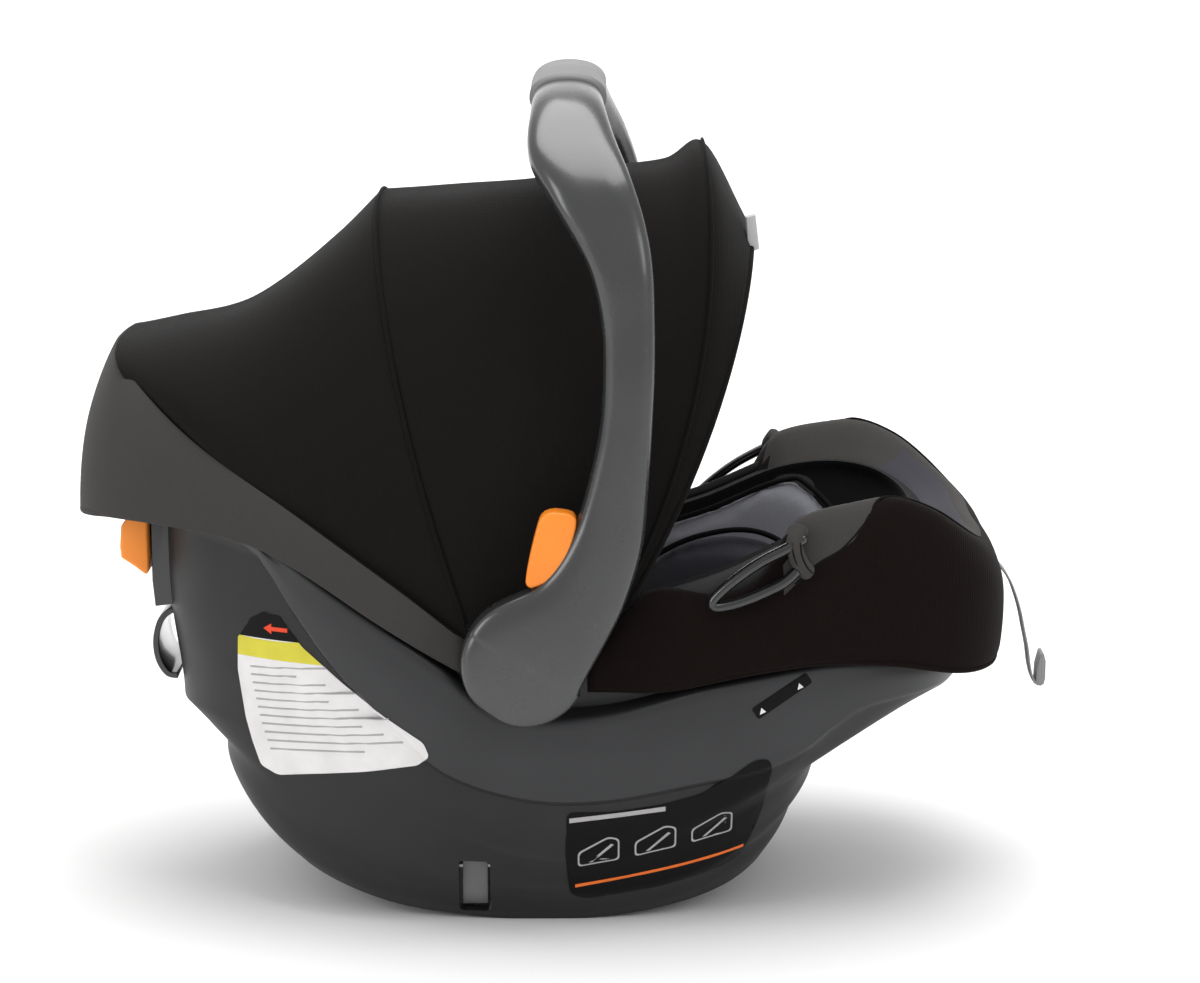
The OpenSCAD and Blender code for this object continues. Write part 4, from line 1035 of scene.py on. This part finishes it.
# Material, slot, edge radius and the CAD nodes whose own shapes are kept with softened edges.
SOFT_EDGES = [
    (BLACK_PLASTIC, "dark_plastic", 1.2, ("chest_clip_left", "chest_clip_right")),
    (ORANGE, "orange_plastic", 0.8, ("chest_clip_button",)),
    (BLACK_PLASTIC, "dark_plastic", 2.0, ("buckle_housing",)),
    (RED, "red_plastic", 1.2, ("buckle_button",)),
    (BLACK_PLASTIC, "dark_plastic", 0.8, ("adjuster_housing",)),
    (GREY_PLASTIC, "grey_plastic", 0.8, ("adjuster_button", "latch_hook_left", "latch_hook_right")),
    (PAD, "black_fabric", 1.5, ("crotch_pad",)),
    (BLACK_PLASTIC, "shell_plastic", 0.8, ("socket_left", "socket_right")),
    (STEEL, "steel", 0.3, ("splitter_plate", "buckle_tongues"))]
for material, slot, width, nodes in SOFT_EDGES:
    for node in nodes:
        made = softened(node, material, width)

# ---- release lever ----

PIN_X = -291
BRACKET_HALF = 47
LEVER_HALF = 51
EAR_Y = 45


def make_bracket():
    """Back plate, roof and two slotted ears that hold the lever's pin, all within the lever's width."""
    plate = [(-264, 214), (-279.5, 212), (-281.3, 232), (-281.3, 295), (-268, 295)]
    rounded_plate("release_bracket_look", plate, -BRACKET_HALF, BRACKET_HALF, BLACK_PLASTIC, soft=0.8,
                  body="base", slot="dark_plastic", replaces=["release_bracket"])
    rounded_plate("release_roof", [(-279, 292.5), (-299, 292.5), (-299, 295), (-279, 295)], -BRACKET_HALF,
                  BRACKET_HALF, BLACK_PLASTIC, soft=0.6, body="base", slot="dark_plastic")
    for side in (-1, 1):
        for x in (PIN_X - 5.2, PIN_X + 5.2):
            ear = [(x - 1.7, 254), (x + 1.7, 254), (x + 1.7, 293), (x - 1.7, 293)]
            rounded_plate(f"release_ear_{side}_{int(x)}", ear, side * EAR_Y - 2.2, side * EAR_Y + 2.2,
                          BLACK_PLASTIC, soft=0.6, body="base", slot="dark_plastic")


def make_lever():
    outline = [(-283, 278), (-290, 281), (-298, 281), (-303, 274), (-304.3, 258), (-303.5, 250),
               (-294, 243.5), (-285, 236.5), (-283, 240)]
    obj = rounded_plate("release_lever_look", outline, -LEVER_HALF, LEVER_HALF, ORANGE, soft=2.2,
                        body="lever", slot="orange_plastic", replaces=["release_lever"])
    for side in (-1, 1):
        cut_window(obj, Vector((-290, side * 45.5, 266)) * MM, Vector((9.5, 3.6, 22)) * MM)


def make_belt_clip():
    middle = smooth_path([(-260, 0, 206), (-269, 0, 206.5), (-277, 0, 199), (-281, 0, 184), (-279.5, 0, 169),
                          (-273, 0, 158), (-265, 0, 156)], 30)
    way = np.gradient(middle, axis=0)
    half_thick = 2.3
    normal = np.stack([-way[:, 2], way[:, 0]], 1) / np.linalg.norm(way, axis=1)[:, None] * half_thick
    flat = middle[:, [0, 2]]
    outline = np.concatenate([flat + normal, (flat - normal)[::-1]])
    rounded_plate("shoulder_belt_guide_look", [tuple(p) for p in outline], -38, 38, BLACK_PLASTIC, soft=0.9,
                  body="base", slot="dark_plastic", replaces=["shoulder_belt_guide"])


make_bracket()
make_lever()
make_belt_clip()

# ---- belt guides ----

for side, label in SIDES:
    y = side * 184
    loop = [(197, y - side * 3, 294), (186, y, 288), (164, y, 276), (145, y, 262), (134, y, 251.5),
            (132, y, 247), (137, y, 245), (152, y, 248.5), (170, y, 256), (183, y, 263),
            (192, y - side * 2, 271)]
    tube(f"belt_guide_{label}_look", loop, 4.8, BLACK_PLASTIC, sides=14, flat=0.8, count=90, body="base",
         slot="dark_plastic", replaces=[f"belt_guide_{label}"])
    sleeve = [(199, y - side * 7, 269), (195, y - side * 4, 274), (191, y - side * 2, 283),
              (190, y - side * 3, 292), (194, y - side * 8, 300)]
    tube(f"guide_sleeve_{label}", sleeve, 8.0, HEATHER, sides=16, flat=0.75, count=30, body="base",
         slot="heather_fabric")
    for k in (0, 1):
        stitch = [(x - 2.0 + 5.5 * k, py + side * (7.2 - k), z) for x, py, z in sleeve[:4]]
        tube(f"guide_stitch_{label}_{k}", stitch, 0.8, PIPING, sides=6, count=24, body="base",
             slot="heather_fabric")

# ---- adjuster strap ----

TAIL_W = 19
TAIL_Y = -20
TAIL = [(x, TAIL_Y, z) for x, z in (
    (327, 246), (337, 246), (345, 244.5), (354, 238), (361, 228), (366, 216), (370, 203), (373, 189),
    (376, 175), (378, 161), (381, 150), (385, 146.5))]
tail, tail_path = strap("adjuster_strap_look", TAIL, (0, 1, 0), 1.8, TAIL_W, body="base", slot="webbing",
                        replaces=["adjuster_strap"])
TAB = [(383, 147.5), (386, 145.5), (389, 147), (390, 152), (390, 165), (388.5, 171), (386, 170.5),
       (383.5, 160)]
tab = rounded_plate("adjuster_tab_look", TAB, TAIL_Y - TAIL_W / 2, TAIL_Y + TAIL_W / 2, WEBBING, soft=0.7,
                    body="base", slot="webbing", replaces=["adjuster_tab"])

# ---- materials of the CAD nodes that stay ----

STAY = {"crotch_strap": WEBBING, "under_seat_web": WEBBING, "canopy_mid_bow": BLACK_PLASTIC,
        "canopy_front_bow": BLACK_PLASTIC}
for node, obj in frame["nodes"].items():
    obj.data.materials.clear()
    obj.data.materials.append(STAY.get(node, STEEL))

# ---- floor and light ----


def make_stage():
    mat, tree, shader = new_material("floor_look")
    set_inputs(shader, Base_Color=(0.86, 0.86, 0.86, 1), Roughness=0.7)
    depth, bend, high = 2.6, 1.2, 5.0
    side = [(-6.0, 0.0)] + [(depth + bend * math.sin(a), bend * (1 - math.cos(a)))
                            for a in np.linspace(0, math.pi / 2, 16)] + [(depth + bend, high)]
    verts = [(x, y * 1000, z * 1000) for x in (-9000, 9000) for y, z in side]
    n = len(side)
    faces = [(i, i + 1, n + i + 1, n + i) for i in range(n - 1)]
    floor = piece("studio_floor", verts, faces, mat)


def soft_light(name, place, target, size, power):
    data = bpy.data.lights.new(name, "AREA")
    data.shape = "RECTANGLE"
    data.size, data.size_y = size
    data.energy = power
    obj = placed(name, data)
    obj.location = place
    obj.rotation_euler = (Vector(place) - Vector(target)).to_track_quat("Z", "Y").to_euler()


make_stage()
soft_light("overhead", (0.1, 0.1, 2.6), (0, 0, 0.3), (2.6, 1.8), 62)
soft_light("front_left", (-2.4, -1.8, 1.3), (-0.1, 0, 0.25), (1.0, 1.8), 26)
soft_light("front_right", (2.6, -2.2, 1.5), (0.1, 0, 0.25), (1.2, 1.6), 16)
soft_light("backdrop", (0, 1.6, 2.4), (0, 3.4, 0.8), (4.0, 1.2), 60)
world = bpy.data.worlds.new("studio")
world.use_nodes = True
set_inputs(world.node_tree.nodes["Background"], Color=(1, 1, 1, 1), Strength=0.72)
bpy.context.scene.world = world
bpy.context.scene.view_settings.view_transform = "Standard"
